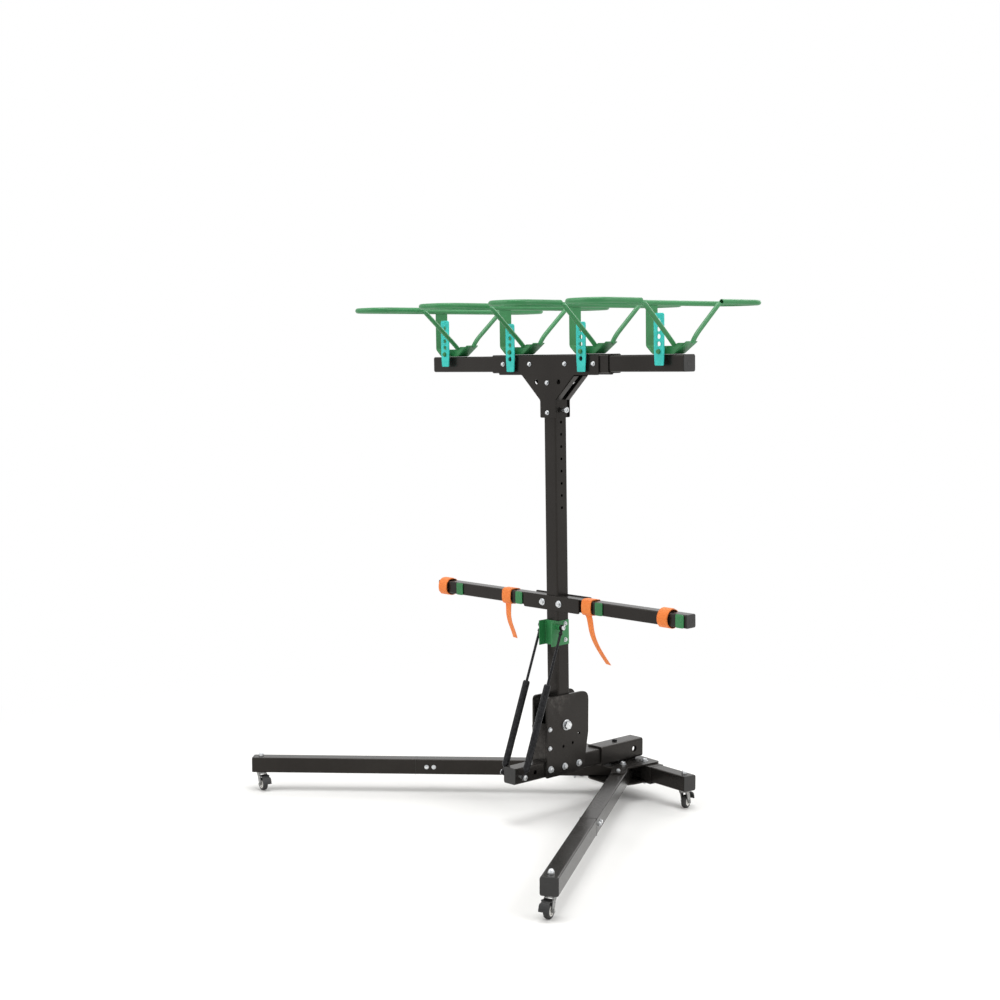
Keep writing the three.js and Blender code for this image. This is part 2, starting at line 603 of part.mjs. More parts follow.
// Head: sleeve and collar, gusset plates, pull pin, crossbar and baskets
function head(frame) {
  const out = SLEEVE / 2;
  const inner = TUBE / 2 + GAP;
  let sleeve = box(-SLEEVE_HALF, SLEEVE_HALF, -out, out, CROSS_Z - out, CROSS_Z + out)
    .subtract(box(-SLEEVE_HALF - CUT, SLEEVE_HALF + CUT, -inner, inner, CROSS_Z - inner, CROSS_Z + inner));
  const collarTop = CROSS_Z - out - GAP;
  let collar = box(-out, out, -out, out, COLLAR_FOOT, collarTop)
    .subtract(box(-inner, inner, -inner, inner, COLLAR_FOOT - CUT, collarTop + CUT));
  let crossbar = tube("x", TUBE, -CROSS_HALF, CROSS_HALF, false, false)
    .translate(0, 0, CROSS_Z);
  crossbar = crossbar.subtract(rod("z", LOCK_HOLE_R, CROSS_Z - TUBE, CROSS_Z, 0, 0));
  collar = collar.subtract(hole("x", PULL_R, 0, out, 0, PULL_Z));

  const outline = [
    [-GUSSET_STEM_HALF, COLLAR_FOOT, PLATE], [GUSSET_STEM_HALF, COLLAR_FOOT, PLATE],
    [GUSSET_STEM_HALF, GUSSET_STEM_Z, PLATE], [GUSSET_ARM_HALF, GUSSET_ARM_Z, PLATE],
    [GUSSET_TOP_HALF, GUSSET_ARM_Z, PLATE], [GUSSET_TOP_HALF, GUSSET_TOP, PLATE],
    [-GUSSET_TOP_HALF, GUSSET_TOP, PLATE], [-GUSSET_TOP_HALF, GUSSET_ARM_Z, PLATE],
    [-GUSSET_ARM_HALF, GUSSET_ARM_Z, PLATE], [-GUSSET_STEM_HALF, GUSSET_STEM_Z, PLATE],
  ];
  const places = [-GUSSET_BOLT_X, GUSSET_BOLT_X, SLEEVE_BOLT_X, -SLEEVE_BOLT_X].map((x) => [x, CROSS_Z]);
  const bolts = [...places, ...STEM_BOLT_ZS.map((z) => [0, z])];
  const gussetInner = out + GAP;
  const reach = gussetInner + GUSSET_T + GAP;
  let front = uprightPlateXZ(outline, GUSSET_T, -gussetInner - GUSSET_T);
  let rear = uprightPlateXZ(outline, GUSSET_T, gussetInner);
  for (const x of [-1, 1]) {
    const slot = rod("y", SLOT_R, -2 * reach, 2 * reach, x * SLOT_X, GUSSET_ARM_Z - SLOT_DROP);
    front = front.subtract(slot);
    rear = rear.subtract(slot);
  }
  for (const [x, z] of bolts) {
    const cutter = hole("y", BOLT_R, -reach, reach, x, z);
    front = front.subtract(cutter);
    rear = rear.subtract(cutter);
    if (z < GUSSET_ARM_Z) collar = collar.subtract(cutter);
    else {
      sleeve = sleeve.subtract(cutter);
      crossbar = crossbar.subtract(cutter);
    }
  }
  for (const side of [-1, 1]) {
    const name = side < 0 ? "head_bolt_left" : "head_bolt_right";
    add(frame, name, "zinc", bolt("y", -reach, reach, side * GUSSET_BOLT_X, CROSS_Z));
  }
  add(frame, "crossbar_sleeve", "black", sleeve);
  add(frame, "mast_collar", "black", collar);
  add(frame, "gusset_front", "black", front);
  add(frame, "gusset_rear", "black", rear);
  add(frame, "crossbar", "black", crossbar);
  const knob = out + PULL_OUT;
  const tip = TUBE / 2 + GAP;
  add(frame, "pull_pin", "zinc", rod("x", PULL_R, tip, knob + PULL_KNOB_L / 2, 0, PULL_Z)
    .add(rod("x", PULL_KNOB_R, knob, knob + PULL_KNOB_L, 0, PULL_Z)));
  STATIONS.forEach((x, i) => basket(frame, x, i + 1));
}

// Wheel basket: open hoop, folded cradle and its two drop rods, with the rubber strap in front
function basket(frame, x, number) {
  const group = groupAt(frame, x, 0, 0);
  const onSleeve = Math.abs(x) < SLEEVE_HALF;
  const floor = CROSS_Z + (onSleeve ? SLEEVE : TUBE) / 2 + GAP;
  const hoopZ = floor + HOOP_RISE;
  const [west, east] = [HOOP_X - HOOP_W / 2, HOOP_X + HOOP_W / 2];
  const [south, north] = [HOOP_Y - HOOP_L / 2, HOOP_Y + HOOP_L / 2];
  const [gapSouth, gapNorth] = [DROP_Y - DROP_TOP / 2, DROP_Y + DROP_TOP / 2];
  const corner = (cx, cy, from) => [0, 0.25, 0.5, 0.75, 1].map((share) => {
    const angle = from + share * Math.PI / 2;
    return new THREE.Vector3(cx + HOOP_CORNER * Math.cos(angle), cy + HOOP_CORNER * Math.sin(angle), hoopZ);
  });
  const at = (px, py) => new THREE.Vector3(px, py, hoopZ);
  const path = [
    at(east, gapNorth), ...corner(east - HOOP_CORNER, north - HOOP_CORNER, 0),
    ...corner(west + HOOP_CORNER, north - HOOP_CORNER, Math.PI / 2), at(west, north / 2), at(west, 0),
    at(west, south / 2), ...corner(west + HOOP_CORNER, south + HOOP_CORNER, Math.PI),
    ...corner(east - HOOP_CORNER, south + HOOP_CORNER, 3 * Math.PI / 2), at(east, gapSouth),
  ];
  let body = roundBar(path, HOOP_R, HOOP_STEPS, HOOP_SIDES);

  const half = CRADLE_W / 2;
  const rise = CRADLE_BEND;
  const wingFoot = floor + rise;
  const strip = [
    [CRADLE_LEFT, floor, 0], [CRADLE_RIGHT, floor, 0], [CRADLE_RIGHT, floor + CRADLE_T, 0],
    [CRADLE_LEFT + CRADLE_T / 2, floor + CRADLE_T, 0], [west + CRADLE_T / 2, wingFoot + CRADLE_T / 2, 0],
    [west + CRADLE_T / 2, hoopZ, 0], [west - CRADLE_T / 2, hoopZ, 0],
    [west - CRADLE_T / 2, wingFoot, 0],
  ];
  const lip = [
    [CRADLE_LEFT, floor, 0], [CRADLE_RIGHT, floor, 0], [CRADLE_RIGHT, floor + CRADLE_SIDE, 0],
    [CRADLE_RIGHT - CRADLE_BEND, floor + CRADLE_SIDE, 0], [CRADLE_RIGHT - CRADLE_BEND, floor + CRADLE_LIP, 0],
    [CRADLE_LEFT, floor + CRADLE_LIP, 0],
  ];
  const side = [
    [-half, floor, 0], [half, floor + CRADLE_SIDE - 2 * CRADLE_T, 0], [half, floor + CRADLE_SIDE, 0],
    [-half, floor + CRADLE_SIDE, 0],
  ];
  body = body.add(uprightPlateXZ(strip, CRADLE_W, -half))
    .add(uprightPlateXZ(lip, CRADLE_T, -half))
    .add(uprightPlateYZ(side, CRADLE_T, CRADLE_RIGHT - CRADLE_T));
  const sideX = CRADLE_RIGHT - CRADLE_T / 2;
  for (const way of [-1, 1]) {
    const footX = way < 0 ? sideX - DROP_IN : sideX;
    const footY = way < 0 ? ROD_R - half : ROD_R;
    const foot = new THREE.Vector3(footX, footY, floor + (way < 0 ? CRADLE_LIP : CRADLE_SIDE) - CRADLE_T);
    const top = new THREE.Vector3(east, DROP_Y + way * (DROP_TOP / 2 - HOOP_R), hoopZ);
    const shoulder = new THREE.Vector3(footX, footY + way * ROD_R, floor + CRADLE_SIDE + ROD_R);
    body = body.add(roundBar(way < 0 ? [foot, top] : [foot, shoulder, top], ROD_R, DROP_STEPS, HOOP_SIDES));
  }
  const strapY = -SLEEVE / 2 - GUSSET_T - HEAD_H - 3 * GAP - RUBBER_T;
  const studZ = floor + STUD_RISE;
  body = body.add(rod("y", STUD_R, strapY - STUD_R, -half, 0, studZ));
  add(group, "basket_" + number, "green", body);

  const lowest = studZ - RUBBER_BELOW[number - 1] * RUBBER_HOLE_PITCH;
  const w = RUBBER_W / 2;
  const outline = [
    [-w, lowest + RUBBER_BOTTOM, PLATE], [w, lowest + RUBBER_BOTTOM, PLATE],
    [w, lowest + RUBBER_TOP, PLATE], [-w, lowest + RUBBER_TOP, PLATE],
  ];
  let strap = uprightPlateXZ(outline, RUBBER_T, strapY);
  for (let i = 0; i < RUBBER_HOLES; i += 1) {
    strap = strap.subtract(rod("y", RUBBER_HOLE_R, strapY - CUT, strapY + RUBBER_T + CUT, 0,
      lowest + i * RUBBER_HOLE_PITCH));
  }
  add(group, "rubber_strap_" + number, "teal", strap);
}

rollingBase();
receiver();
foot();
gasStrut(-1, "strut_left");
gasStrut(1, "strut_right");
mastGroup();

// The origin goes to the middle of the footprint, at floor level
rack.updateMatrixWorld(true);
const bounds = new THREE.Box3().setFromObject(rack, true);
const middle = bounds.getCenter(new THREE.Vector3());
rack.position.set(-middle.x, -middle.y, -bounds.min.z);

export default rack;
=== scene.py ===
"""The looks of a two tier bike rack on a rolling base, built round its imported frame, in metres."""
import json
import math

import bpy
from mathutils import Matrix, Vector


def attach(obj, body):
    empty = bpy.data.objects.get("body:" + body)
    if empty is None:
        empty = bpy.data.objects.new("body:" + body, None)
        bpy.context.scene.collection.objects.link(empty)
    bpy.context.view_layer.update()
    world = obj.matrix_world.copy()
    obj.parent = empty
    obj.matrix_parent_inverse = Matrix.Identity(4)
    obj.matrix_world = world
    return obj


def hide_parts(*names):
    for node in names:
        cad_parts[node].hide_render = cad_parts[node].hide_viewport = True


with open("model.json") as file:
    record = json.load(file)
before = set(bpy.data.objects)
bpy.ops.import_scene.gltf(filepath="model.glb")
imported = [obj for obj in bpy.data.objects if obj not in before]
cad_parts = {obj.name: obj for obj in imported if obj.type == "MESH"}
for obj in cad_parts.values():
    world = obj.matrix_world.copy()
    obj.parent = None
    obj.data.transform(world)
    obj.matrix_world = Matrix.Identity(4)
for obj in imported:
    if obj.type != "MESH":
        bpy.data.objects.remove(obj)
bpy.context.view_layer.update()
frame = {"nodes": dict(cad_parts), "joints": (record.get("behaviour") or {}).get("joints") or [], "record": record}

MM = 0.001
GAP = 0.3 * MM

# Sizes that the finished pieces share with the frame
TUBE = 50 * MM
WALL = 3 * MM
RECEIVER = 62 * MM
SLEEVE = 58 * MM
LOWER_BAR = 40 * MM
LEG_ANGLE, BASE_TURN, LEAN = 39.4, -6.7, 1.2       # degrees
HUB_Y = 323 * MM
LEG_Z = 87 * MM
CROSS_Z = 1418 * MM
LOWER_Z = 674 * MM
RECEIVER_Z = 155 * MM
PULL_Z = 1276 * MM
CAP_LIP = 3 * MM

JOINTS = {joint["name"]: joint for joint in frame["joints"]}
BODY_OF = {node: body for body, nodes in frame["record"]["behaviour"]["bodies"].items() for node in nodes}


def joint_at(name):
    return Vector(JOINTS[name]["pos_m"])


def shift(x=0.0, y=0.0, z=0.0):
    return Matrix.Translation((x, y, z))


def rotation(degrees, axis):
    return Matrix.Rotation(math.radians(degrees), 4, axis)


def mm(*points):
    """Points given in millimetres, in metres"""
    return [tuple(value * MM for value in point) for point in points]


AS_IS = Matrix.Identity(4)
ALONG_X, FACING_X, FACING_Y = rotation(-90, "Z"), rotation(90, "Y"), rotation(90, "X")
UPRIGHT, ABOUT, OVER = rotation(-90, "X"), rotation(180, "Z"), rotation(180, "X")
# Stands a plate drawn in X and Y up in Y and Z
SIDEWAYS = Matrix(((0, 0, 1, 0), (1, 0, 0, 0), (0, 1, 0, 0), (0, 0, 0, 1)))
PIVOT = joint_at("mast_tilt")
RACK = shift(PIVOT.x, PIVOT.y)
MAST = Matrix.Translation(PIVOT) @ rotation(LEAN, "X") @ shift(0, 0, -PIVOT.z)
BASE = RACK @ shift(0, HUB_Y) @ rotation(BASE_TURN, "Z")
SIDES = {"left": -1, "right": 1}
OUTWARD = {"left": ABOUT, "right": AS_IS}
LEGS = {side: BASE @ shift(0, 0, LEG_Z) @ rotation(way * LEG_ANGLE, "Z") for side, way in SIDES.items()}


# Shader maths: a number socket that adds its own Math nodes

def feed(tree, socket, value):
    """Links a socket to another one, or sets its constant"""
    value = value.socket if isinstance(value, Number) else value
    if isinstance(value, bpy.types.NodeSocket):
        tree.links.new(value, socket)
    else:
        socket.default_value = (*value, 1) if socket.type == "RGBA" and len(value) == 3 else value


def add_node(tree, kind, settings=None, sockets=None):
    made = tree.nodes.new(kind)
    for key, value in (settings or {}).items():
        setattr(made, key, value)
    pairs = sockets.items() if isinstance(sockets, dict) else enumerate(sockets or [])
    for key, value in pairs:
        feed(tree, made.inputs[key], value)
    return made


class Number:
    def __init__(self, finish, socket):
        self.finish, self.socket = finish, socket

    def maths(self, operation, first, second):
        return Number(self.finish, self.finish.node(
            "ShaderNodeMath", {"operation": operation}, [first, second]).outputs[0])

    def __add__(self, other):
        return self.maths("ADD", self, other)

    def __sub__(self, other):
        return self.maths("SUBTRACT", self, other)

    def __rsub__(self, other):
        return self.maths("SUBTRACT", other, self)

    def __mul__(self, other):
        return self.maths("MULTIPLY", self, other)

    __radd__ = __add__
    __rmul__ = __mul__

    def lift(self, low, high):
        """0 below low, 1 above high, smooth between them"""
        ranged = self.finish.node("ShaderNodeMapRange", {"interpolation_type": "SMOOTHSTEP"},
                                  {"Value": self, "From Min": low, "From Max": high})
        return Number(self.finish, ranged.outputs[0])


class Finish:
    """One material: a Principled shader and the nodes that feed it"""

    def __init__(self, name):
        self.material = bpy.data.materials.new(name)
        self.material.use_nodes = True
        self.tree = self.material.node_tree
        self.shader = next(n for n in self.tree.nodes if n.type == "BSDF_PRINCIPLED")
        self.where = self.node("ShaderNodeTexCoord").outputs["Object"]

    def node(self, kind, settings=None, sockets=None):
        return add_node(self.tree, kind, settings, sockets)

    def noise(self, scale, detail=3.0, roughness=0.5, stretch=(1, 1, 1)):
        placed = self.node("ShaderNodeMapping", None, {"Vector": self.where, "Scale": stretch})
        made = self.node("ShaderNodeTexNoise", None, {
            "Vector": placed.outputs[0], "Scale": scale, "Detail": detail, "Roughness": roughness})
        return Number(self, made.outputs[0])

    def cells(self, scale):
        made = self.node("ShaderNodeTexVoronoi", None, {"Vector": self.where, "Scale": scale})
        return Number(self, made.outputs["Distance"])

    def mix(self, factor, first, second):
        sockets = {"Factor": factor, 6: first, 7: second}
        return self.node("ShaderNodeMix", {"data_type": "RGBA"}, sockets).outputs[2]

    def edges(self):
        """1 along the outer edges of a piece"""
        return Number(self, self.node("ShaderNodeNewGeometry").outputs["Pointiness"]).lift(0.54, 0.65)

    def dust_and_sheen_tops(self):
        """1 on faces that look up, where dust lies and where a painted sheen stands for the light from above"""
        facing = self.node("ShaderNodeNewGeometry").outputs["Normal"]
        return Number(self, self.node("ShaderNodeSeparateXYZ", None, [facing]).outputs[2]).lift(0.6, 0.98)

    def set(self, **values):
        for key, value in values.items():
            feed(self.tree, self.shader.inputs[key.replace("_", " ")], value)
        return self

    def bump(self, height, distance, strength=1.0):
        sockets = {"Height": height, "Distance": distance, "Strength": strength}
        return self.set(Normal=self.node("ShaderNodeBump", None, sockets).outputs[0])


def powder_coat(name, deep, light, worn, dust, rough=0.42, shine=0.5, tint=(1, 1, 1)):
    """Baked powder coat: orange peel, a slow change of tone, thin dust with a painted sheen on upward faces, and
    edges rubbed lighter
    """
    finish = Finish(name)
    slow = finish.noise(5, 3)
    fine = finish.noise(900, 2)
    speck = finish.noise(260, 4, 0.7)
    colour = finish.mix(slow.lift(0.3, 0.7), deep, light)
    # Upward faces drift to the dust colour: real dust, and a painted sheen of the light from above
    colour = finish.mix(finish.dust_and_sheen_tops() * speck.lift(0.42, 0.75) * 0.35, colour, dust)
    colour = finish.mix(finish.edges() * finish.noise(60, 4, 0.7).lift(0.35, 0.7) * 0.7, colour, worn)
    finish.set(Base_Color=colour, Roughness=slow * 0.1 + fine * 0.08 + rough - 0.09,
               Specular_IOR_Level=shine, Specular_Tint=tint)
    finish.bump(fine + speck * 0.4, 0.00005)
    return finish.material


def zinc_plate(name, deep, light, rough=0.28):
    """Bright zinc: a faint cloudy bloom, fine turning marks and duller patches"""
    finish = Finish(name)
    cloud = finish.noise(140, 4, 0.6)
    marks = finish.noise(60, 2, 0.5, (1, 1, 22))
    colour = finish.mix(cloud.lift(0.35, 0.7), deep, light)
    finish.set(Base_Color=colour, Metallic=1.0, Roughness=cloud * 0.16 + marks * 0.08 + rough - 0.1)
    finish.bump(marks + cloud * 0.5, 0.00003)
    return finish.material


def moulded(name, deep, light, rough, pebble=700, depth=0.00006, dust=None):
    """Moulded plastic or rubber: pebbled skin, slow change of tone and pale scuffs"""
    finish = Finish(name)
    slow = finish.noise(18, 4, 0.6)
    skin = finish.cells(pebble)
    scuff = finish.noise(55, 5, 0.7, (1, 1, 5))
    colour = finish.mix(slow.lift(0.3, 0.7), deep, light)
    if dust:
        colour = finish.mix(scuff.lift(0.56, 0.74) * 0.4, colour, dust)
    finish.set(Base_Color=colour, Roughness=slow * 0.14 + rough - 0.07)
    finish.bump(skin + scuff * 0.6, depth)
    return finish.material


def webbing(name, deep, light):
    """Woven strap: slanted yarns that cross, with painted shade in the grooves between them, and sun-paled patches
    """
    finish = Finish(name)
    thread = finish.node("ShaderNodeUVMap").outputs[0]
    waves = []
    for turn in (0.8, -0.8):
        placed = finish.node("ShaderNodeMapping", None, {"Vector": thread, "Rotation": (0, 0, turn)})
        made = finish.node("ShaderNodeTexWave", {"wave_profile": "SIN"}, {
            "Vector": placed.outputs[0], "Scale": 150.0, "Distortion": 0.3, "Detail": 1.0})
        waves.append(Number(finish, made.outputs["Fac"]))
    weave = waves[0] * 0.5 + waves[1] * 0.5
    slow = finish.noise(35, 3)
    # The grooves between the yarns get the deep colour: painted shade
    colour = finish.mix(weave.lift(0.25, 0.6), deep, light)
    colour = finish.mix(slow.lift(0.45, 0.8) * 0.25, colour, (1.0, 0.4, 0.1))
    finish.set(Base_Color=colour, Roughness=0.9 - weave * 0.15, Sheen_Weight=0.25)
    finish.bump(weave, 0.0004)
    return finish.material


LOOKS = {
    # The fourth colour of each coat lies on its upward faces as dust and as a painted sheen
    "black_coat": powder_coat("black_coat", (0.009, 0.0085, 0.008), (0.015, 0.014, 0.013),
                              (0.075, 0.07, 0.066), (0.09, 0.083, 0.074), 0.25, 0.27, (1, 0.9, 0.82)),
    "green_coat": powder_coat("green_coat", (0.02, 0.175, 0.05), (0.03, 0.225, 0.07),
                              (0.09, 0.36, 0.16), (0.16, 0.33, 0.2)),
    "zinc_steel": zinc_plate("zinc_steel", (0.56, 0.58, 0.6), (0.83, 0.84, 0.84)),
    # Zinc darkened with painted shade, for the caster forks
    "fork_steel": zinc_plate("fork_steel", (0.2, 0.2, 0.2), (0.38, 0.38, 0.37), 0.34),
    "strut_black": zinc_plate("strut_black", (0.02, 0.02, 0.021), (0.035, 0.035, 0.037), 0.26),
    "teal_rubber": moulded("teal_rubber", (0.02, 0.5, 0.45), (0.035, 0.63, 0.56), 0.55,
                           dust=(0.3, 0.72, 0.66)),
    "orange_webbing": webbing("orange_webbing", (0.72, 0.13, 0.012), (1.0, 0.27, 0.035)),
    "caster_rubber": moulded("caster_rubber", (0.014, 0.014, 0.014), (0.026, 0.025, 0.025), 0.62,
                             dust=(0.13, 0.12, 0.11)),
    "pedal_nylon": moulded("pedal_nylon", (0.011, 0.011, 0.012), (0.019, 0.019, 0.019), 0.45, 900),
    "hub_nylon": moulded("hub_nylon", (0.66, 0.65, 0.62), (0.78, 0.77, 0.74), 0.4, 800,
                         dust=(0.45, 0.43, 0.4)),
    "cap_nylon": moulded("cap_nylon", (0.013, 0.0125, 0.012), (0.021, 0.02, 0.019), 0.5, 600),
}
SLOTS = {material["slot"] for material in frame["record"]["materials"]}
NODE_SLOT = {row["node"]: row["material_slot"] for row in frame["record"]["subparts"]}


# Modelling

SMOOTH_BELOW = math.radians(35)


def start(add, **settings):
    """Adds a primitive with nothing else selected and gives it back"""
    bpy.ops.object.select_all(action="DESELECT")
    add(**settings)
    return bpy.context.active_object


def hold(piece):
    bpy.ops.object.select_all(action="DESELECT")
    piece.select_set(True)
    bpy.context.view_layer.objects.active = piece


def linked(name, data):
    piece = bpy.data.objects.new(name, data)
    bpy.context.scene.collection.objects.link(piece)
    return piece


def from_points(name, verts, edges, faces):
    mesh = bpy.data.meshes.new(name)
    mesh.from_pydata(verts, edges, faces)
    return linked(name, mesh)


def from_curve(name, loops, closed, **settings):
    """A mesh from a curve with these settings, one straight-lined spline for each loop of points"""
    curve = bpy.data.curves.new(name, "CURVE")
    for key, value in settings.items():
        setattr(curve, key, value)
    for loop in loops:
        spline = curve.splines.new("POLY")
        spline.points.add(len(loop) - 1)
        for point, place in zip(spline.points, loop):
            x, y, z = (*place, 0)[:3]
            point.co = (x, y, z, 1)
        spline.use_cyclic_u = closed
    hold(linked(name, curve))
    bpy.ops.object.convert(target="MESH")
    return merge(bpy.context.active_object)


def edit_all(piece):
    """Edit mode with everything selected"""
    hold(piece)
    bpy.ops.object.mode_set(mode="EDIT")
    bpy.ops.mesh.select_all(action="SELECT")


def shape(piece, kind, **settings):
    """Adds a modifier with these settings and applies it"""
    hold(piece)
    modifier = piece.modifiers.new(kind.lower(), kind)
    for key, value in settings.items():
        setattr(modifier, key, value)
    bpy.ops.object.modifier_apply(modifier=modifier.name)
    return piece


def soften(piece, width, segments=2, angle=40):
    """Small rounded edges wherever two faces meet sharply"""
    return shape(piece, "BEVEL", width=width, segments=segments, limit_method="ANGLE",
                 angle_limit=math.radians(angle), use_clamp_overlap=True)


def bore(piece, cutters):
    """Cuts one cutter after another out of a piece"""
    for cutter in cutters:
        shape(piece, "BOOLEAN", operation="DIFFERENCE", object=cutter, solver="EXACT")
        bpy.data.objects.remove(cutter)
    return piece


def join(pieces):
    bpy.ops.object.select_all(action="DESELECT")
    for piece in pieces:
        piece.select_set(True)
    bpy.context.view_layer.objects.active = pieces[0]
    if len(pieces) > 1:
        bpy.ops.object.join()
    return pieces[0]


def moved(piece, place):
    piece.data.transform(place)
    return piece


def copied(piece, place):
    """A copy with its own mesh, at another place"""
    return moved(linked(piece.name, piece.data.copy()), place)


def done(piece, name, look, body, place=AS_IS, nodes=()):
    """Places a finished piece, gives it its material and body, and lets it stand for its frame nodes"""
    moved(piece, place)
    piece.name = name
    hold(piece)
    bpy.ops.object.shade_smooth_by_angle(angle=SMOOTH_BELOW)
    shape(piece, "WEIGHTED_NORMAL", keep_sharp=True)
    piece.data.materials.clear()
    piece.data.materials.append(LOOKS[look])
    look in SLOTS
    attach(piece, body)
    if nodes:
        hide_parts(*nodes)
    return piece


def cylinder(radius, depth, place=AS_IS, sides=40):
    """A cylinder along Z, its middle at the origin before it is placed"""
    piece = start(bpy.ops.mesh.primitive_cylinder_add, radius=radius, depth=depth, vertices=sides)
    return moved(piece, place)


def slab(x, y, z, place=AS_IS):
    """A box about the origin, before it is placed"""
    piece = start(bpy.ops.mesh.primitive_cube_add, size=1)
    return moved(piece, place @ Matrix.Diagonal((x, y, z, 1)))


def pick(piece, test):
    """Selects faces by a test on their middle and normal, in edit mode"""
    hold(piece)
    bpy.ops.object.mode_set(mode="EDIT")
    bpy.ops.mesh.select_mode(type="FACE")
    bpy.ops.mesh.select_all(action="DESELECT")
    bpy.ops.object.mode_set(mode="OBJECT")
    for face in piece.data.polygons:
        face.select = test(face.center, face.normal)
    bpy.ops.object.mode_set(mode="EDIT")


def leave():
    bpy.ops.object.mode_set(mode="OBJECT")


def square_tube(size, wall, start_y, end_y, radius, cutters=()):
    """A square tube along Y with rounded long edges, a real wall and open ends"""
    piece = slab(size, end_y - start_y, size, shift(0, (start_y + end_y) / 2, 0))
    pick(piece, lambda middle, normal: abs(normal.y) > 0.5)
    bpy.ops.mesh.delete(type="ONLY_FACE")
    bpy.ops.mesh.select_mode(type="EDGE")
    bpy.ops.mesh.select_all(action="DESELECT")
    leave()
    points = piece.data.vertices
    for edge in piece.data.edges:
        first, second = (points[v].co for v in edge.vertices)
        edge.select = abs(first.y - second.y) > size
    bpy.ops.object.mode_set(mode="EDIT")
    bpy.ops.mesh.bevel(offset=radius, segments=5, affect="EDGES")
    leave()
    shape(piece, "SOLIDIFY", thickness=wall, offset=-1, use_even_offset=True)
    bore(piece, cutters)
    return soften(piece, 0.5 * MM, 2, 50)


def arc_corners(corners, steps=6):
    """An outline whose corners (x, y, radius) are rounded by arcs"""
    outline = []
    count = len(corners)
    for i, (x, y, radius) in enumerate(corners):
        here = Vector((x, y))
        back = (Vector(corners[i - 1][:2]) - here).normalized()
        ahead = (Vector(corners[(i + 1) % count][:2]) - here).normalized()
        half = back.angle(ahead) / 2
        if radius <= 0 or half > math.radians(89):
            outline.append(here)
            continue
        middle = here + (back + ahead).normalized() * (radius / math.sin(half))
        reach = radius / math.tan(half)
        first, last = here + back * reach - middle, here + ahead * reach - middle
        turn = first.angle_signed(last)
        for step in range(steps + 1):
            angle = -turn * step / steps
            outline.append(middle + Matrix.Rotation(angle, 2) @ first)
    return outline


def rounded(width, height, radius):
    """A rectangle about the origin with rounded corners"""
    x, y = width / 2, height / 2
    return arc_corners([(-x, -y, radius), (x, -y, radius), (x, y, radius), (-x, y, radius)])


def arc(x, y, radius, first, last, steps):
    """Points along an arc from one angle to another, in degrees"""
    return [(x + radius * math.cos(a), y + radius * math.sin(a))
            for a in (math.radians(first + (last - first) * i / steps) for i in range(steps + 1))]


def flat_plate(outline, thickness, holes=(), edge=0.8 * MM):
    """A plate in X and Y with softened edges and round holes, its middle plane at Z 0"""
    return from_curve("plate", [outline, *holes], True, dimensions="2D", fill_mode="BOTH", offset=-edge,
                      extrude=thickness / 2 - edge, bevel_depth=edge, bevel_resolution=2)


def merge(piece, distance=0.01 * MM):
    edit_all(piece)
    bpy.ops.mesh.remove_doubles(threshold=distance)
    bpy.ops.mesh.normals_make_consistent(inside=False)
    leave()
    return piece


def turned(profile, sides=48):
    """A round piece turned about Z from a profile of (radius, height) that starts and ends on the axis"""
    edges = [(i, i + 1) for i in range(len(profile) - 1)]
    piece = from_points("turned", [(r, 0, z) for r, z in profile], edges, [])
    edit_all(piece)
    bpy.ops.mesh.spin(steps=sides, angle=2 * math.pi, center=(0, 0, 0), axis=(0, 0, 1))
    leave()
    return merge(piece, 0.002 * MM)


def mirrored(side, closed=False):
    """A profile that is the same above and below Z 0, from its upper half"""
    profile = [(r, -h) for r, h in reversed(side)] + side
    return profile + profile[:1] if closed else profile


def level_ring(middle, x, y, steps):
    """A closed level ring of points round a middle, with a radius along X and one along Y"""
    return [middle + Vector((x * math.cos(a), y * math.sin(a), 0))
            for a in (math.tau * i / steps for i in range(steps + 1))]


def round_bar(points, radius, resolution=6, wall=0.0):
    """A bar or, with a wall, an open tube along a smooth line of points"""
    piece = from_curve("bar", [points], False, dimensions="3D", bevel_depth=radius,
                       bevel_resolution=resolution, use_fill_caps=not wall)
    if wall:
        shape(piece, "SOLIDIFY", thickness=wall, offset=-1)
    return piece


def clad(node, width):
    """A frame node's own shape, merged and with softened edges"""
    source = frame["nodes"][node]
    piece = linked(node + "_skin", source.data.copy())
    edit_all(piece)
    bpy.ops.mesh.customdata_custom_splitnormals_clear()
    bpy.ops.mesh.remove_doubles(threshold=0.01 * MM)
    bpy.ops.mesh.dissolve_limited(angle_limit=math.radians(1))
    leave()
    soften(piece, width, 3)
    return done(piece, node + "_skin", NODE_SLOT[node], BODY_OF[node], AS_IS, [node])


# Fasteners

WASHER = 1.6 * MM


def washered(head, height, washer):
    """A washer and a six-sided head on it, standing on Z 0"""
    ring = soften(cylinder(washer, WASHER, shift(0, 0, WASHER / 2)), 0.3 * MM)
    return [ring, soften(cylinder(head, height, shift(0, 0, WASHER + height / 2), 6), 0.7 * MM, 2, 50)]


def hex_bolt(head=8.5 * MM, height=6 * MM, washer=11 * MM):
    """A washer and a six-sided head with a turned top, standing on Z 0"""
    crown = turned([(0, 0), (head * 0.8, 0), (head * 0.78, 0.5 * MM), (head * 0.5, 0.8 * MM),
                    (head * 0.45, 0.3 * MM), (0, 0.3 * MM)], 32)
    return join([*washered(head, height, washer), moved(crown, shift(0, 0, WASHER + height))])


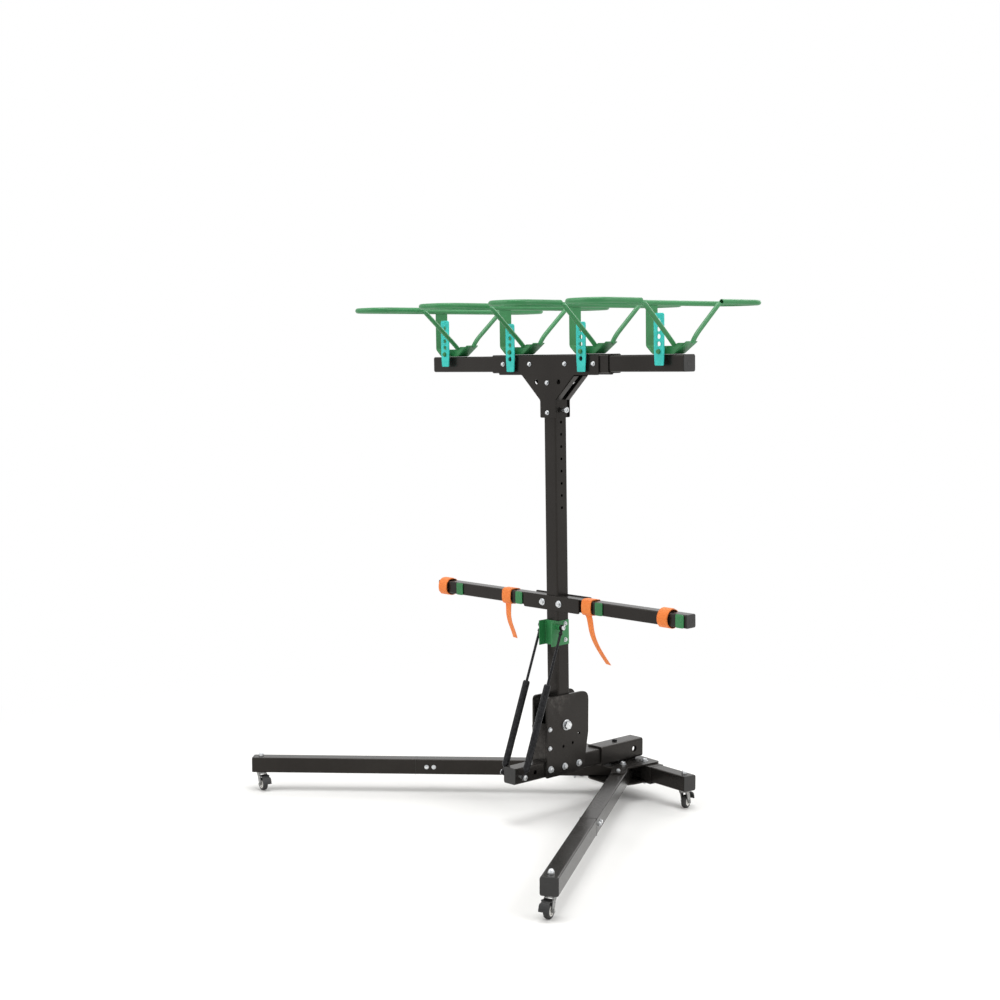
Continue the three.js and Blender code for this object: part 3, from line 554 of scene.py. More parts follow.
def lock_nut(nut=8.5 * MM, height=7 * MM, washer=11 * MM):
    """A washer, a nut with its nylon collar and the bolt's end, standing on Z 0"""
    top = WASHER + height
    collar = turned([(0, top), (nut * 0.85, top), (nut * 0.82, top + 1.6 * MM), (nut * 0.62, top + 2.2 * MM),
                     (nut * 0.6, top + 0.6 * MM), (0, top + 0.6 * MM)], 36)
    thread = []
    pitch, shank = 1.25 * MM, nut * 0.56
    for i in range(6):
        thread += [(shank, top - MM + i * pitch), (shank - 0.5 * MM, top - MM + (i + 0.5) * pitch)]
    end = turned([(0, top - MM), *thread, (0, thread[-1][1])], 28)
    return join([*washered(nut, height, washer), collar, end])


def dome_nut(nut=9 * MM, height=7 * MM):
    """A six-sided nut closed by a dome, standing on Z 0"""
    body = soften(cylinder(nut, height, shift(0, 0, height / 2), 6), 0.8 * MM, 2, 50)
    rise = [(0.86 * nut * math.cos(a), height - 0.6 * MM + 8.4 * MM * math.sin(a))
            for a in (math.pi / 2 * i / 10 for i in range(11))]
    dome = turned([(0, height - 0.6 * MM), *rise[:-1], (0, rise[-1][1])], 40)
    return join([body, dome])


BOLT = hex_bolt()
NUT = lock_nut()
SMALL_BOLT = hex_bolt(5.7 * MM, 4.3 * MM, 7.2 * MM)
SMALL_NUT = lock_nut(5.7 * MM, 4.3 * MM, 7.2 * MM)
DOME_NUT = dome_nut()
TEMPLATES = (BOLT, NUT, SMALL_BOLT, SMALL_NUT, DOME_NUT)


def through(frame_place, point, axis, reach, small=False):
    """A bolt's head on one side of a joint and its nut on the other"""
    at = frame_place @ Matrix.Translation(point) @ {"x": FACING_X, "y": FACING_Y, "z": AS_IS}[axis]
    head, nut = (SMALL_BOLT, SMALL_NUT) if small else (BOLT, NUT)
    return [copied(head, at @ shift(0, 0, reach)), copied(nut, at @ OVER @ shift(0, 0, reach))]


def bolts(name, body, rows, nodes=()):
    pieces = [piece for row in rows for piece in through(*row)]
    return done(join(pieces), name, "zinc_steel", body, AS_IS, nodes)


def at_both_ends(piece, place, reach):
    """A round piece that faces +Z, copied to face out on either side at this distance along X"""
    ends = [copied(piece, place @ shift(way * reach) @ rotation(way * 90, "Y")) for way in (-1, 1)]
    bpy.data.objects.remove(piece)
    return ends


def end_cap(name, body, size, place):
    """A moulded cap whose lip covers a tube's end and whose plug goes inside; its face looks along +Y"""
    face = flat_plate(rounded(size, size, size * 0.13), CAP_LIP, (), 1.4 * MM)
    moved(face, shift(0, CAP_LIP / 2) @ FACING_Y)
    inside = size - 2 * WALL - MM
    plug = soften(slab(inside, 12 * MM, inside, shift(0, -6 * MM)), 2 * MM, 2)
    mark = turned([(0, 0), (size * 0.2, 0), (size * 0.19, 0.4 * MM), (size * 0.16, 0.4 * MM),
                   (size * 0.15, 0.1 * MM), (0, 0.1 * MM)], 40)
    moved(mark, shift(0, CAP_LIP) @ UPRIGHT)
    return done(join([face, plug, mark]), name, "cap_nylon", body, place)


# Rolling base

LEG_REACH, LEG_OVERHANG, LEG_START = 1220 * MM, 27 * MM, 38 * MM
HUB_BOLT_REACH, REAR_Y, REAR_REACH, REAR_BOLT_X = 78 * MM, 24 * MM, 249 * MM, 62 * MM
JOINT_REACH, JOINT_PITCH = 651 * MM, 24 * MM
PLATE = 5 * MM


def legs():
    rows = []
    end = -LEG_REACH - LEG_OVERHANG + CAP_LIP
    for side, level in LEGS.items():
        tube = square_tube(TUBE, WALL, end, -LEG_START, 5 * MM)
        done(tube, f"leg_{side}_tube", "black_coat", "base", level, [f"leg_{side}"])
        end_cap(f"leg_{side}_cap", "base", TUBE, level @ shift(0, end) @ ABOUT)
        # The splice line where the leg's inner stub meets its outer length, and its two bolts each side
        line = soften(slab(TUBE + 0.9 * MM, 1.2 * MM, TUBE + 0.9 * MM), 0.4 * MM)
        splice = level @ shift(0, -JOINT_REACH)
        done(line, f"leg_{side}_splice", "cap_nylon", "base", splice @ shift(0, -2 * JOINT_PITCH))
        rows += [(splice, (0, step * JOINT_PITCH, 0), "x", TUBE / 2, True) for step in (-0.5, 0.5)]
    bolts("leg_splice_bolts", "base", rows)


def hub():
    reach = TUBE / 2 + GAP + PLATE
    rows = [(level, (0, -HUB_BOLT_REACH, 0), "z", reach) for level in LEGS.values()]
    rows += [(BASE, (way * REAR_BOLT_X, REAR_Y, LEG_Z), "z", reach) for way in (-1, 1)]
    bolts("hub_bolts", "base", rows, ["hub_bolt_left", "hub_bolt_right"])
    for node in ("hub_plate_lower", "hub_plate_upper"):
        clad(node, 1.2 * MM)
    # The upper plate's ear over each leg, with its own bolt
    ear = arc_corners(mm((-24, -196, 22), (24, -196, 22), (24, -112, 4), (-24, -112, 4)))
    for side, level in LEGS.items():
        plate = moved(flat_plate(ear, 5.6 * MM), shift(0, 0, TUBE / 2 + 3 * MM))
        done(plate, f"hub_ear_{side}", "black_coat", "base", level)
        at = level @ shift(0, -172 * MM)
        pair = [copied(SMALL_BOLT, at @ shift(0, 0, TUBE / 2 + 5.8 * MM)),
                copied(SMALL_NUT, at @ shift(0, 0, -TUBE / 2) @ OVER)]
        done(join(pair), f"hub_ear_bolt_{side}", "zinc_steel", "base")
    place = BASE @ shift(0, REAR_Y, LEG_Z) @ ALONG_X
    half = REAR_REACH + LEG_OVERHANG - CAP_LIP
    tube = square_tube(TUBE, WALL, -half, half, 5 * MM)
    done(tube, "rear_tube_body", "black_coat", "base", place, ["rear_tube"])
    for side in SIDES:
        outward = place @ OUTWARD[side]
        end_cap(f"rear_cap_{side}", "base", TUBE, outward @ shift(0, half))
        socket = square_tube(TUBE + 2 * WALL + 2 * GAP, WALL, 0, 46 * MM, 6 * MM)
        done(socket, f"rear_socket_{side}", "black_coat", "base", outward @ shift(0, 74 * MM, -3 * MM + GAP))


def receiver():
    half = RECEIVER / 2
    pin_hole = 10 * MM
    level = RACK @ shift(0, 0, RECEIVER_Z)
    cutters = [cylinder(pin_hole, 2 * RECEIVER, shift(0, 326 * MM, 0) @ FACING_X)]
    tube = square_tube(RECEIVER, RECEIVER / 2 - TUBE / 2 - 2 * GAP, 167 * MM, 367 * MM, 8 * MM, cutters)
    saddle_low = LEG_Z + TUBE / 2 + 2 * GAP + PLATE
    saddle = slab(half, 85 * MM, RECEIVER_Z - half - saddle_low + MM,
                  shift(0, 307 * MM, (saddle_low + RECEIVER_Z - half + MM) / 2 - RECEIVER_Z))
    done(join([tube, soften(saddle, 1.5 * MM)]), "receiver_tube", "black_coat", "base",
         level, ["receiver"])
    # Weld beads along both sides of the saddle and under the receiver
    beads = []
    for way in (-1, 1):
        line = [(way * half * 0.54, (266 + 82 * i / 60) * MM, -half - 0.6 * MM + 0.7 * MM * math.sin(i * 2.1))
                for i in range(61)]
        beads.append(round_bar(line, 3 * MM, 3))
    done(join(beads), "receiver_welds", "black_coat", "base", level)
    screw = turned(mm((0, -4), (8.4, -4), (8.4, 4.6), (7.6, 5.6), (4, 5.9), (3.6, 2.4), (0, 2.4)), 40)
    done(screw, "receiver_clamp_screw", "strut_black", "base", level @ shift(0, 262 * MM, half))


def casters():
    for name in ("leg_left_caster", "leg_right_caster", "rear_left_caster", "rear_right_caster"):
        stem, axle = joint_at(name + "_turn"), joint_at(name + "_roll")
        face = math.atan2(stem.y - axle.y, stem.x - axle.x) - math.pi / 2
        caster(name, shift(stem.x, stem.y) @ Matrix.Rotation(face, 4, "Z"))


def caster(name, place):
    """One caster in its own frame: the stem at the origin, the wheel trailing towards -Y"""
    wheel_r, wheel_w, trail, play, cheek_t = (v * MM for v in (21, 17, 14, 1.5, 3))
    cheek_x = wheel_w / 2 + play + cheek_t / 2
    top = LEG_Z - TUBE / 2 - GAP
    middle = shift(0, -trail, wheel_r)
    head = turned(mm((0, 0), (11, 0), (17, -1.6), (17, -3.4), (15.2, -3.8), (15.2, -5), (16, -5.4),
                     (15.4, -6.3), (0, -6.3)))
    moved(head, shift(0, 0, top))
    # The fork's sides, measured from the axle
    outline = arc_corners(mm((27, 35.7, 1.5), (-1, 35.7, 4), (-7.5, 1, 5), (-1, -7, 6), (7.5, -1, 5),
                             (16, 24.7, 9)))
    cheeks = [moved(flat_plate(outline, cheek_t, (), 0.7 * MM), middle @ shift(way * cheek_x) @ SIDEWAYS)
              for way in (-1, 1)]
    axle_side = [(r, cheek_x + h) for r, h in mm((3, 1.2), (5, 1.4), (5, 4), (3.6, 5), (0, 5))]
    axle = moved(turned(mirrored(axle_side), 32), middle @ FACING_X)
    # The fork's zinc is darkened with painted shade
    done(join([head, *cheeks, axle]), name + "_forked", "fork_steel", name + "_swivel", place,
         [name + "_fork"])
    done(copied(DOME_NUT, shift(0, 0, LEG_Z + TUBE / 2)), name + "_stem_nut", "zinc_steel", name + "_swivel",
         place)

    # The tyre and the hub, with heights measured down from the wheel's side
    half = wheel_w / 2
    tread = [(wheel_r, 5 * MM), *mm((20.5, 2.6), (19.4, 1), (16.5, 0.2), (14.2, 0.6))]
    dish = mm((3.3, 0.4), (5.4, 0.4), (5.8, 2.4), (9.4, 2.6), (10, 0.3), (13.6, 0.3), (14, 1.2))
    for part, look, sides, depths, nodes in (("tyre", "caster_rubber", 56, tread, [name + "_wheel"]),
                                             ("hub", "hub_nylon", 48, dish, [])):
        piece = turned(mirrored([(r, half - h) for r, h in depths], True), sides)
        done(piece, f"{name}_{part}", look, name + "_roller", place @ middle @ FACING_X, nodes)

    # The brake pedal, measured from its hinge
    width = 2 * (cheek_x + cheek_t / 2) + 4 * MM
    wave = [Vector(point) for point in mm((-45, -24), (-43.6, -17), (-41, -10.5), (-37, -5), (-31, -1.4),
                                          (-25, -0.6), (-19, 0.6), (-13, 0.4))]
    upper = []
    for i, point in enumerate(wave):
        run = (wave[min(i + 1, len(wave) - 1)] - wave[max(i - 1, 0)]).normalized()
        upper.append(point + Vector((-run.y, run.x)) * 2.8 * MM)
    treadle = moved(flat_plate(upper[::-1] + wave, width, (), 0.6 * MM), SIDEWAYS)
    bore(treadle, [cylinder(6 * MM, 40 * MM, shift(way * (width / 2 + 2.4 * MM), y * MM), 32)
                   for way in (-1, 1) for y in (-19, -35)])
    ribs = [slab(width * 0.6, 1.1 * MM, 0.9 * MM, shift(0, y * MM, z * MM) @ rotation(lean, "X"))
            for y, z, lean in ((-47.4, -20, 77), (-45.6, -13.6, 70), (-42, -7.4, 58), (-37.4, -2.4, 42))]
    ribs = [soften(rib, 0.35 * MM) for rib in ribs]
    done(join([treadle, *ribs]), name + "_treadle", "pedal_nylon", name + "_pedal",
         place @ shift(0, 0, top - 12.5 * MM), [name + "_brake"])


# Foot, struts and mast

STINGER_FRONT, STINGER_REAR = -217 * MM, 345 * MM
CHEEK_OUT = TUBE / 2 + GAP + 8 * MM
STRUT_X, STRUT_PIN = 46 * MM, 4.2 * MM
STRUT_FOOT, STRUT_TOP = Vector((0, -198, 155)) * MM, Vector((0, -34, 600)) * MM


def foot():
    level = RACK @ shift(0, 0, RECEIVER_Z)
    front = STINGER_FRONT + CAP_LIP
    cutters = [cylinder(radius, 2 * TUBE, shift(0, y) @ FACING_X) for radius, y in mm((7, -129), (8, 326))]
    tube = square_tube(TUBE, WALL, front, STINGER_REAR, 5 * MM, cutters)
    done(tube, "stinger_tube", "black_coat", "base", level, ["stinger"])
    end_cap("stinger_cap", "base", TUBE, level @ shift(0, front) @ ABOUT)
    for node in ("cheek_left", "cheek_right", "front_web"):
        clad(node, 1.1 * MM)
    bolts("foot_bolts", "base", [(level, (0, y * MM, 0), "x", CHEEK_OUT) for y in (-70, -7, 57)])
    bolts("web_bolts", "base", [(RACK, (0, -74 * MM, z * MM), "x", CHEEK_OUT, True) for z in (222, 282)])

    head = turned(mm((0, 0), (17, 0), (17, 1.8), (16.2, 2.4), (11, 2.4), (11, 3), (0, 3)), 48)
    crown = soften(cylinder(14.4 * MM, 9 * MM, shift(0, 0, 7.4 * MM), 6), 1.1 * MM, 3, 50)
    boss = turned(mm((0, 11.4), (11.4, 11.4), (11, 12), (5, 12), (4.6, 10.6), (0, 10.6)), 36)
    at = Matrix.Translation(PIVOT)
    ends = at_both_ends(join([head, crown, boss]), at, CHEEK_OUT)
    shank = cylinder(10 * MM, 2 * CHEEK_OUT, at @ FACING_X)
    done(join([*ends, shank]), "pivot_bolt_turned", "zinc_steel", "base", AS_IS, ["pivot_bolt"])

    pin = joint_at("strut_left_swing")
    at = shift(PIVOT.x, pin.y, pin.z)
    reach = STRUT_X + 5 * MM + GAP
    bar = cylinder(STRUT_PIN, 2 * reach, at @ FACING_X)
    clip = turned(mm((0, 0), (8, 0), (8.4, 0.8), (7.6, 1.6), (5, 1.8), (4.2, 2.8), (0, 3)), 36)
    done(join([bar, *at_both_ends(clip, at, reach)]), "strut_pin_clipped", "zinc_steel", "base",
         AS_IS, ["strut_foot_pin"])


def struts():
    run = STRUT_TOP - STRUT_FOOT
    tilt = Matrix.Rotation(math.atan2(-run.y, run.z), 4, "X")
    r, body, rod = 11, 292, run.length / MM       # the body's radius and end, and the rod's end
    for side, way in SIDES.items():
        place = RACK @ shift(way * STRUT_X) @ Matrix.Translation(STRUT_FOOT) @ tilt
        eye = turned(mirrored(mm((9, 4.2), (8, 5), (4.3, 5)), True), 40)
        neck = turned(mm((0, 7), (4, 7), (4, 17), (7.6, 18), (7.6, 21), (9.4, 21.4), (r - 0.3, 24),
                         (r - 0.3, 120), (4.9, 120), (4.9, 31), (0, 31)))
        guard = turned(mm((4.9, 119), (r - 0.1, 119), (r, 120), (r, body - 5), (r - 1, body - 2),
                          (r - 3, body), (4.9, body), (4.9, 119)))
        grooves = [turned(mm((r - 0.8, z), (r + 0.05, z + 0.4), (r + 0.05, z + 2.2), (r - 0.8, z + 2.6),
                             (r - 0.8, z))) for z in (128, 133, body - 14)]
        done(join([copied(eye, FACING_X), neck, guard, *grooves]), f"strut_{side}_cylinder_body",
             "strut_black", f"strut_{side}_cylinder", place, [f"strut_{side}_body"])
        shaft = turned(mm((0, body - 70), (4.2, body - 70), (4.2, rod - 24), (6.4, rod - 23), (6.4, rod - 16),
                          (4, rod - 14), (4, rod - 7), (0, rod - 7)))
        top_eye = moved(eye, shift(0, 0, run.length) @ FACING_X)
        done(join([shaft, top_eye]), f"strut_{side}_piston_rod", "strut_black", f"strut_{side}_piston",
             place, [f"strut_{side}_rod"])


def mast():
    foot_z, top_z, pitch = 236 * MM, 1378 * MM - CAP_LIP, 38 * MM
    holes = [cylinder(4.4 * MM, 40 * MM, shift(30 * MM, -PULL_Z + i * pitch) @ FACING_X, 24)
             for i in range(-2, 9)]
    holes.append(cylinder(10.4 * MM, 2 * TUBE, shift(0, -PIVOT.z) @ FACING_X))
    tube = square_tube(TUBE, WALL, -top_z, -foot_z, 5 * MM, holes)
    done(tube, "mast_tube", "black_coat", "mast", MAST @ UPRIGHT, ["mast"])
    end_cap("mast_cap", "mast", TUBE, MAST @ shift(0, 0, top_z) @ FACING_Y)
    clad("strut_bracket", 1.2 * MM)
    reach = TUBE / 2 + GAP + 3 * MM
    bolts("bracket_bolts", "mast", [(MAST, (0, 4 * MM, z * MM), "x", reach, True) for z in (557, 608)])
    at = RACK @ Matrix.Translation(STRUT_TOP)
    button = turned(mm((0, 0), (7.6, 0), (8, 1), (6.6, 2.6), (3.6, 3.2), (3.2, 1.4), (0, 1.4)), 36)
    pins = at_both_ends(button, at, STRUT_X + 5.3 * MM)
    pins += [cylinder(4 * MM, 12 * MM, at @ shift(way * STRUT_X) @ FACING_X, 28) for way in (-1, 1)]
    done(join(pins), "strut_top_pins", "zinc_steel", "mast")


LOWER_HALF, CLAMP_HALF = 540 * MM, 120 * MM


def along_bar(share):
    """A place on the lower bar: 0 at its clamp plates' ends, 1 or -1 at its own ends"""
    return math.copysign(CLAMP_HALF, share) + share * (LOWER_HALF - CLAMP_HALF)


STOPS = [along_bar(share) for share in (-0.742, -0.071, 0.183, 0.94)]
STRAPS = [along_bar(share) for share in (-0.93, -0.203, 0.063, 0.795)]


def lower_bar():
    level = MAST @ shift(0, 0, LOWER_Z)
    inner, outer = TUBE / 2 + GAP, LOWER_HALF - CAP_LIP
    for side in SIDES:
        place = level @ OUTWARD[side] @ ALONG_X
        bar = square_tube(LOWER_BAR, WALL, inner, outer, 4 * MM)
        done(bar, f"lower_bar_{side}_tube", "black_coat", "mast", place, [f"lower_bar_{side}"])
        end_cap(f"lower_cap_{side}", "mast", LOWER_BAR, place @ shift(0, outer))
    for node in ("lower_clamp_front", "lower_clamp_rear"):
        clad(node, 1.1 * MM)
    reach = inner + PLATE
    bolts("lower_bar_bolts", "mast", [(level, (way * 36 * MM, 0, 0), "y", reach) for way in (-1, 1)])
    for i, x in enumerate(STOPS, 1):
        wheel_stop(i, level @ shift(x))
    for i, x in enumerate(STRAPS, 1):
        wheel_strap(i, level @ shift(x))


def wheel_stop(number, place):
    """A moulded pad on the bar's front face with shallow ribs"""
    width, tall, deep = 30 * MM, 40 * MM, 4 * MM
    face = -LOWER_BAR / 2 - GAP
    base = flat_plate(rounded(width, tall, 5 * MM), deep, (), 1.4 * MM)
    moved(base, shift(0, face - deep / 2, 0) @ FACING_Y)
    ribs = [soften(slab(width - 9 * MM, MM, 1.6 * MM, shift(0, face - deep, i * 5 * MM)), 0.4 * MM)
            for i in range(-3, 4)]
    done(join([base, *ribs]), f"wheel_stop_{number}_moulded", "green_coat", "mast",
         place, [f"wheel_stop_{number}"])


def ribbon(line, width, thickness):
    """A flat strap along a line of (y, z) points, its width along X, with a woven UV map in metres"""
    length = [0.0]
    for first, second in zip(line, line[1:]):
        length.append(length[-1] + (Vector(second) - Vector(first)).length)
    across = [-0.5, -0.42, 0, 0.42, 0.5]
    verts = [(width * share, y, z) for y, z in line for share in across]
    count = len(across)
    faces = [(i * count + j, i * count + j + 1, (i + 1) * count + j + 1, (i + 1) * count + j)
             for i in range(len(line) - 1) for j in range(count - 1)]
    piece = from_points("ribbon", verts, [], faces)
    layer = piece.data.uv_layers.new(name="UVMap")
    for loop in piece.data.loops:
        row, column = divmod(loop.vertex_index, count)
        layer.data[loop.index].uv = (width * across[column], length[row])
    shape(piece, "SOLIDIFY", thickness=thickness, offset=0)
    return soften(piece, 0.35 * MM, 2, 50)


def loop_line(number, steps=64):
    """A loose closed loop of (y, z) points round the bar: tight on top, slack in front and below"""
    power = LOOP_POWERS[number]
    corner = 28 * MM / (math.sqrt(2) * 2 ** (-1 / power))
    line = []
    for i in range(steps):
        turn = 2 * math.pi * i / steps
        flat = (abs(math.cos(turn)) ** power + abs(math.sin(turn)) ** power) ** (-1 / power)
        slack = (1.6 + 0.8 * math.sin(number)) * MM * (1 - math.cos(turn - math.radians(70))) / 2
        out = corner * flat + slack * abs(math.cos(2 * turn))
        line.append((out * math.cos(turn), out * math.sin(turn)))
    return line


LOOP_POWERS = {1: 2.6, 2: 5, 3: 5, 4: 2.1}      # from a round loop at 2 to a square one
TAIL_ENDS = {2: (24, -112), 3: (80, -146)}


def wheel_strap(number, place):
    """Webbing looped round the bar and doubled in front; two straps have a loose end that hangs and twists"""
    width, thick = 38 * MM, 1.6 * MM
    around = loop_line(number)
    inner = ribbon(around + around[:1], width, thick)
    # The second layer lies over the first from the top of the front to the bottom
    step = len(around) // 8
    cover = [(y * 1.075, z * 1.075) for y, z in around[2 * step - 2:5 * step + 3]]
    pieces = [inner, ribbon(cover, width, thick)]
    if number in TAIL_ENDS:
        sideways, fall = (v * MM for v in TAIL_ENDS[number])
        low_y, low_z = cover[-1]
        tail = []
        for i in range(29):
            t = i / 28
            tail.append((low_y - 3 * MM * math.sin(math.pi * t * 1.6) * (1 + t), low_z + 2 * MM + fall * t))
        hanging = ribbon(tail, width * 0.7, thick)
        for vertex in hanging.data.vertices:
            t = max(0.0, (low_z - vertex.co.z) / -fall)
            twist = -0.4 * math.sqrt(t) + 0.15 * t
            x, y = vertex.co.x, vertex.co.y - low_y
            drift = sideways * (0.4 * math.sqrt(t) + 0.6 * t ** 3)
            vertex.co.x = x * math.cos(twist) - y * math.sin(twist) + drift
            vertex.co.y = low_y + x * math.sin(twist) + y * math.cos(twist)
        pieces.append(hanging)
    done(join(pieces), f"wheel_strap_{number}_webbing", "orange_webbing", "mast", place,
         [f"wheel_strap_{number}"])
    # The slide buckle sits behind the bar, where the photo can't see it
    rims = [[Vector((x * width / 2, z * MM)) for x, z in ((-1, low), (1, low), (1, low + 4), (-1, low + 4))]
            for low in (-6.2, 2.2)]
    plate = flat_plate(rounded(width + 8 * MM, 18 * MM, 3 * MM), 3 * MM, rims)
    done(plate, f"wheel_strap_{number}_buckle", "pedal_nylon", "mast",
         place @ shift(0, LOWER_BAR / 2 + 8 * MM, 0) @ FACING_Y)


# Head

CROSS_HALF, SLEEVE_HALF = 538 * MM, 250 * MM
GUSSET_REACH = SLEEVE / 2 + 2 * GAP + 4 * MM
FLANGE = 21 * MM


def head():
    level = MAST @ shift(0, 0, CROSS_Z) @ ALONG_X
    half, wall = CROSS_HALF - CAP_LIP, SLEEVE / 2 - TUBE / 2 - GAP
    tube = square_tube(TUBE, WALL, -half, half, 5 * MM)
    done(tube, "crossbar_tube", "black_coat", "head", level, ["crossbar"])
    sleeve = square_tube(SLEEVE, wall, -SLEEVE_HALF, SLEEVE_HALF, 6.5 * MM)
    done(sleeve, "sleeve_tube", "black_coat", "head", level, ["crossbar_sleeve"])
    for side in SIDES:
        end_cap(f"crossbar_cap_{side}", "head", TUBE, level @ OUTWARD[side] @ shift(0, half))
    collar_top, collar_foot = CROSS_Z - SLEEVE / 2 - GAP, 1252 * MM
    hole = cylinder(4.3 * MM, 40 * MM, shift(30 * MM, -PULL_Z) @ FACING_X, 28)
    collar = square_tube(SLEEVE, wall, -collar_top, -collar_foot, 6.5 * MM, [hole])
    done(collar, "collar_tube", "black_coat", "head", MAST @ UPRIGHT, ["mast_collar"])
    for node in ("gusset_front", "gusset_rear"):
        clad(node, 0.9 * MM)
    spots = mm(*((x, 0, CROSS_Z / MM) for x in (-195, -76, 76, 195)), (0, 0, 1268), (0, 0, 1360))
    bolts("head_bolts", "head", [(MAST, spot, "y", GUSSET_REACH, True) for spot in spots],
          ["head_bolt_left", "head_bolt_right"])
    # Folded stiffening edges of the gussets, from the arms down to the stem
    ribs = []
    run = Vector((77, 0, 74)) * MM
    for x in (-1, 1):
        slant = Matrix.Rotation(-x * math.atan2(run.z, run.x), 4, "Y")
        for y in (-1, 1):
            middle = shift(x * 72.6 * MM, y * (GUSSET_REACH - 3 * MM - FLANGE / 2), 1344.4 * MM)
            ribs.append(soften(slab(run.length, FLANGE, 3 * MM, middle @ slant), MM))
    done(join(ribs), "gusset_ribs", "black_coat", "head", MAST)

    face = SLEEVE / 2 + GAP
    tip = (TUBE / 2 - face) / MM
    knob = turned(mm((0, tip + 0.4), (3.2, tip + 0.4), (3.9, tip + 1.2), (3.9, 7.6), (7.4, 7.8), (9, 9.4),
                     (9, 21), (7.6, 23), (4, 23.6), (0, 23.6)), 40)
    ridges = [slab(1.2 * MM, 1.4 * MM, 9.6 * MM, rotation(20 * i, "Z") @ shift(8.8 * MM, 0, 15.2 * MM))
              for i in range(18)]
    ridges = [soften(ridge, 0.4 * MM) for ridge in ridges]
    ring = round_bar(level_ring(Vector((0, -6, 25)) * MM, 7 * MM, 7 * MM, 32), 1.3 * MM, 4)
    done(join([knob, ring, *ridges]), "pull_knob", "zinc_steel", "pull_pin",
         MAST @ shift(face, 0, PULL_Z) @ FACING_X, ["pull_pin"])


STATIONS = [v * MM for v in (-460, -153, 153, 460)]
HOOP_L, HOOP_W, HOOP_X, HOOP_Y = (v * MM for v in (740, 138, 5, -10))
HOOP_R, HOOP_CORNER, HOOP_RISE = (v * MM for v in (8, 52, 149))
DROP_TOP, DROP_Y, ROD_R = (v * MM for v in (352, -27, 7))
CRADLE_W, CRADLE_T, STUD_Z = (v * MM for v in (50, 3, 8))
STRAP_Y = -SLEEVE / 2 - 14 * MM - 3 * GAP
RUBBER_BELOW, RUBBER_PITCH = [0, 1, 1, 0], 21.5 * MM


def folded(profile, width, thickness, bend):
    """A folded steel strip from a profile in X and Z, its width along Y"""
    verts = [(x, y, z) for x, z in profile for y in (-width / 2, width / 2)]
    faces = [(2 * i, 2 * i + 1, 2 * i + 3, 2 * i + 2) for i in range(len(profile) - 1)]
    piece = from_points("folded", verts, [], faces)
    shape(piece, "BEVEL", width=bend, segments=5, limit_method="ANGLE", angle_limit=math.radians(15))
    shape(piece, "SOLIDIFY", thickness=thickness, offset=1, use_even_offset=True)
    merge(piece)
    return soften(piece, 0.7 * MM, 2, 50)


def basket(number, x):
    """One wheel basket, measured from the top of the bar it stands on"""
    place = MAST @ shift(x, 0, CROSS_Z + (SLEEVE if abs(x) < SLEEVE_HALF else TUBE) / 2 + GAP)
    west, east = HOOP_X - HOOP_W / 2, HOOP_X + HOOP_W / 2
    inner = HOOP_L / 2 - HOOP_CORNER
    line = [(east, DROP_Y + DROP_TOP / 2)]
    for i, (across, along) in enumerate(((east - HOOP_CORNER, inner), (west + HOOP_CORNER, inner),
                                         (west + HOOP_CORNER, -inner), (east - HOOP_CORNER, -inner))):
        line += arc(across, HOOP_Y + along, HOOP_CORNER, 90 * i, 90 * i + 90, 10)
    line.append((east, DROP_Y - DROP_TOP / 2))
    hoop = round_bar([(*point, HOOP_RISE) for point in line], HOOP_R, 6, 1.8 * MM)
    soften(hoop, 0.4 * MM, 2, 60)
    strip = mm((86.5, 34), (38, 0.2), (-40, 0.2), (-65.1, 24), (-65.1, 147))
    strip = folded(strip, CRADLE_W, CRADLE_T, 5 * MM)
    lip = arc_corners(mm((-36, 1, 2), (40, 1, 3), (85, 32, 1), (54, 32, 5), (38, 24, 5), (-53, 24, 4)))
    lip = moved(flat_plate(lip, CRADLE_T), shift(0, (CRADLE_T - CRADLE_W) / 2) @ FACING_Y)
    rods, welds = [], []
    for way, low, bend in ((-1, (38, -18, 22), (39, -22, 28)), (1, (81, 7, 29), (83, 16, 49))):
        low, bend = Vector(low) * MM, Vector(bend) * MM
        high = Vector((east, DROP_Y + way * (DROP_TOP / 2 - 10 * MM), HOOP_RISE - HOOP_R * 0.6))
        straight = [bend.lerp(high, 0.2 + 0.8 * i / 6) for i in range(7)]
        curved = [low * (1 - t) ** 2 + bend * (2 * t * (1 - t)) + straight[0] * t * t
                  for t in (i / 8 for i in range(8))]
        rods.append(round_bar(curved + straight, ROD_R, 6))
        bead = level_ring(high + Vector((0, way * 2, -1.5)) * MM, ROD_R * 1.02, ROD_R * 1.25, 24)
        welds.append(round_bar(bead, 1.7 * MM, 3))
    out = STRAP_Y / MM
    stud = turned(mm((0, -24), (6.6, -24), (5, -27), (5, out + 1), (6.6, out - 1.2), (6.6, out - 5),
                     (5, out - 6.6), (0, out - 6.6)), 36)
    moved(stud, shift(0, 0, STUD_Z) @ UPRIGHT)
    whole = join([hoop, strip, lip, *rods, *welds, stud])
    done(whole, f"basket_{number}_welded", "green_coat", "head", place, [f"basket_{number}"])
    lowest = STUD_Z - RUBBER_BELOW[number - 1] * RUBBER_PITCH
    rubber_strap(number, place @ shift(0, STRAP_Y + 2 * MM, lowest) @ FACING_Y)
    screws = [copied(SMALL_BOLT, shift(x * MM, 0, CRADLE_T)) for x in (-18, 24)]
    done(join(screws), f"basket_{number}_screws", "zinc_steel", "head", place)


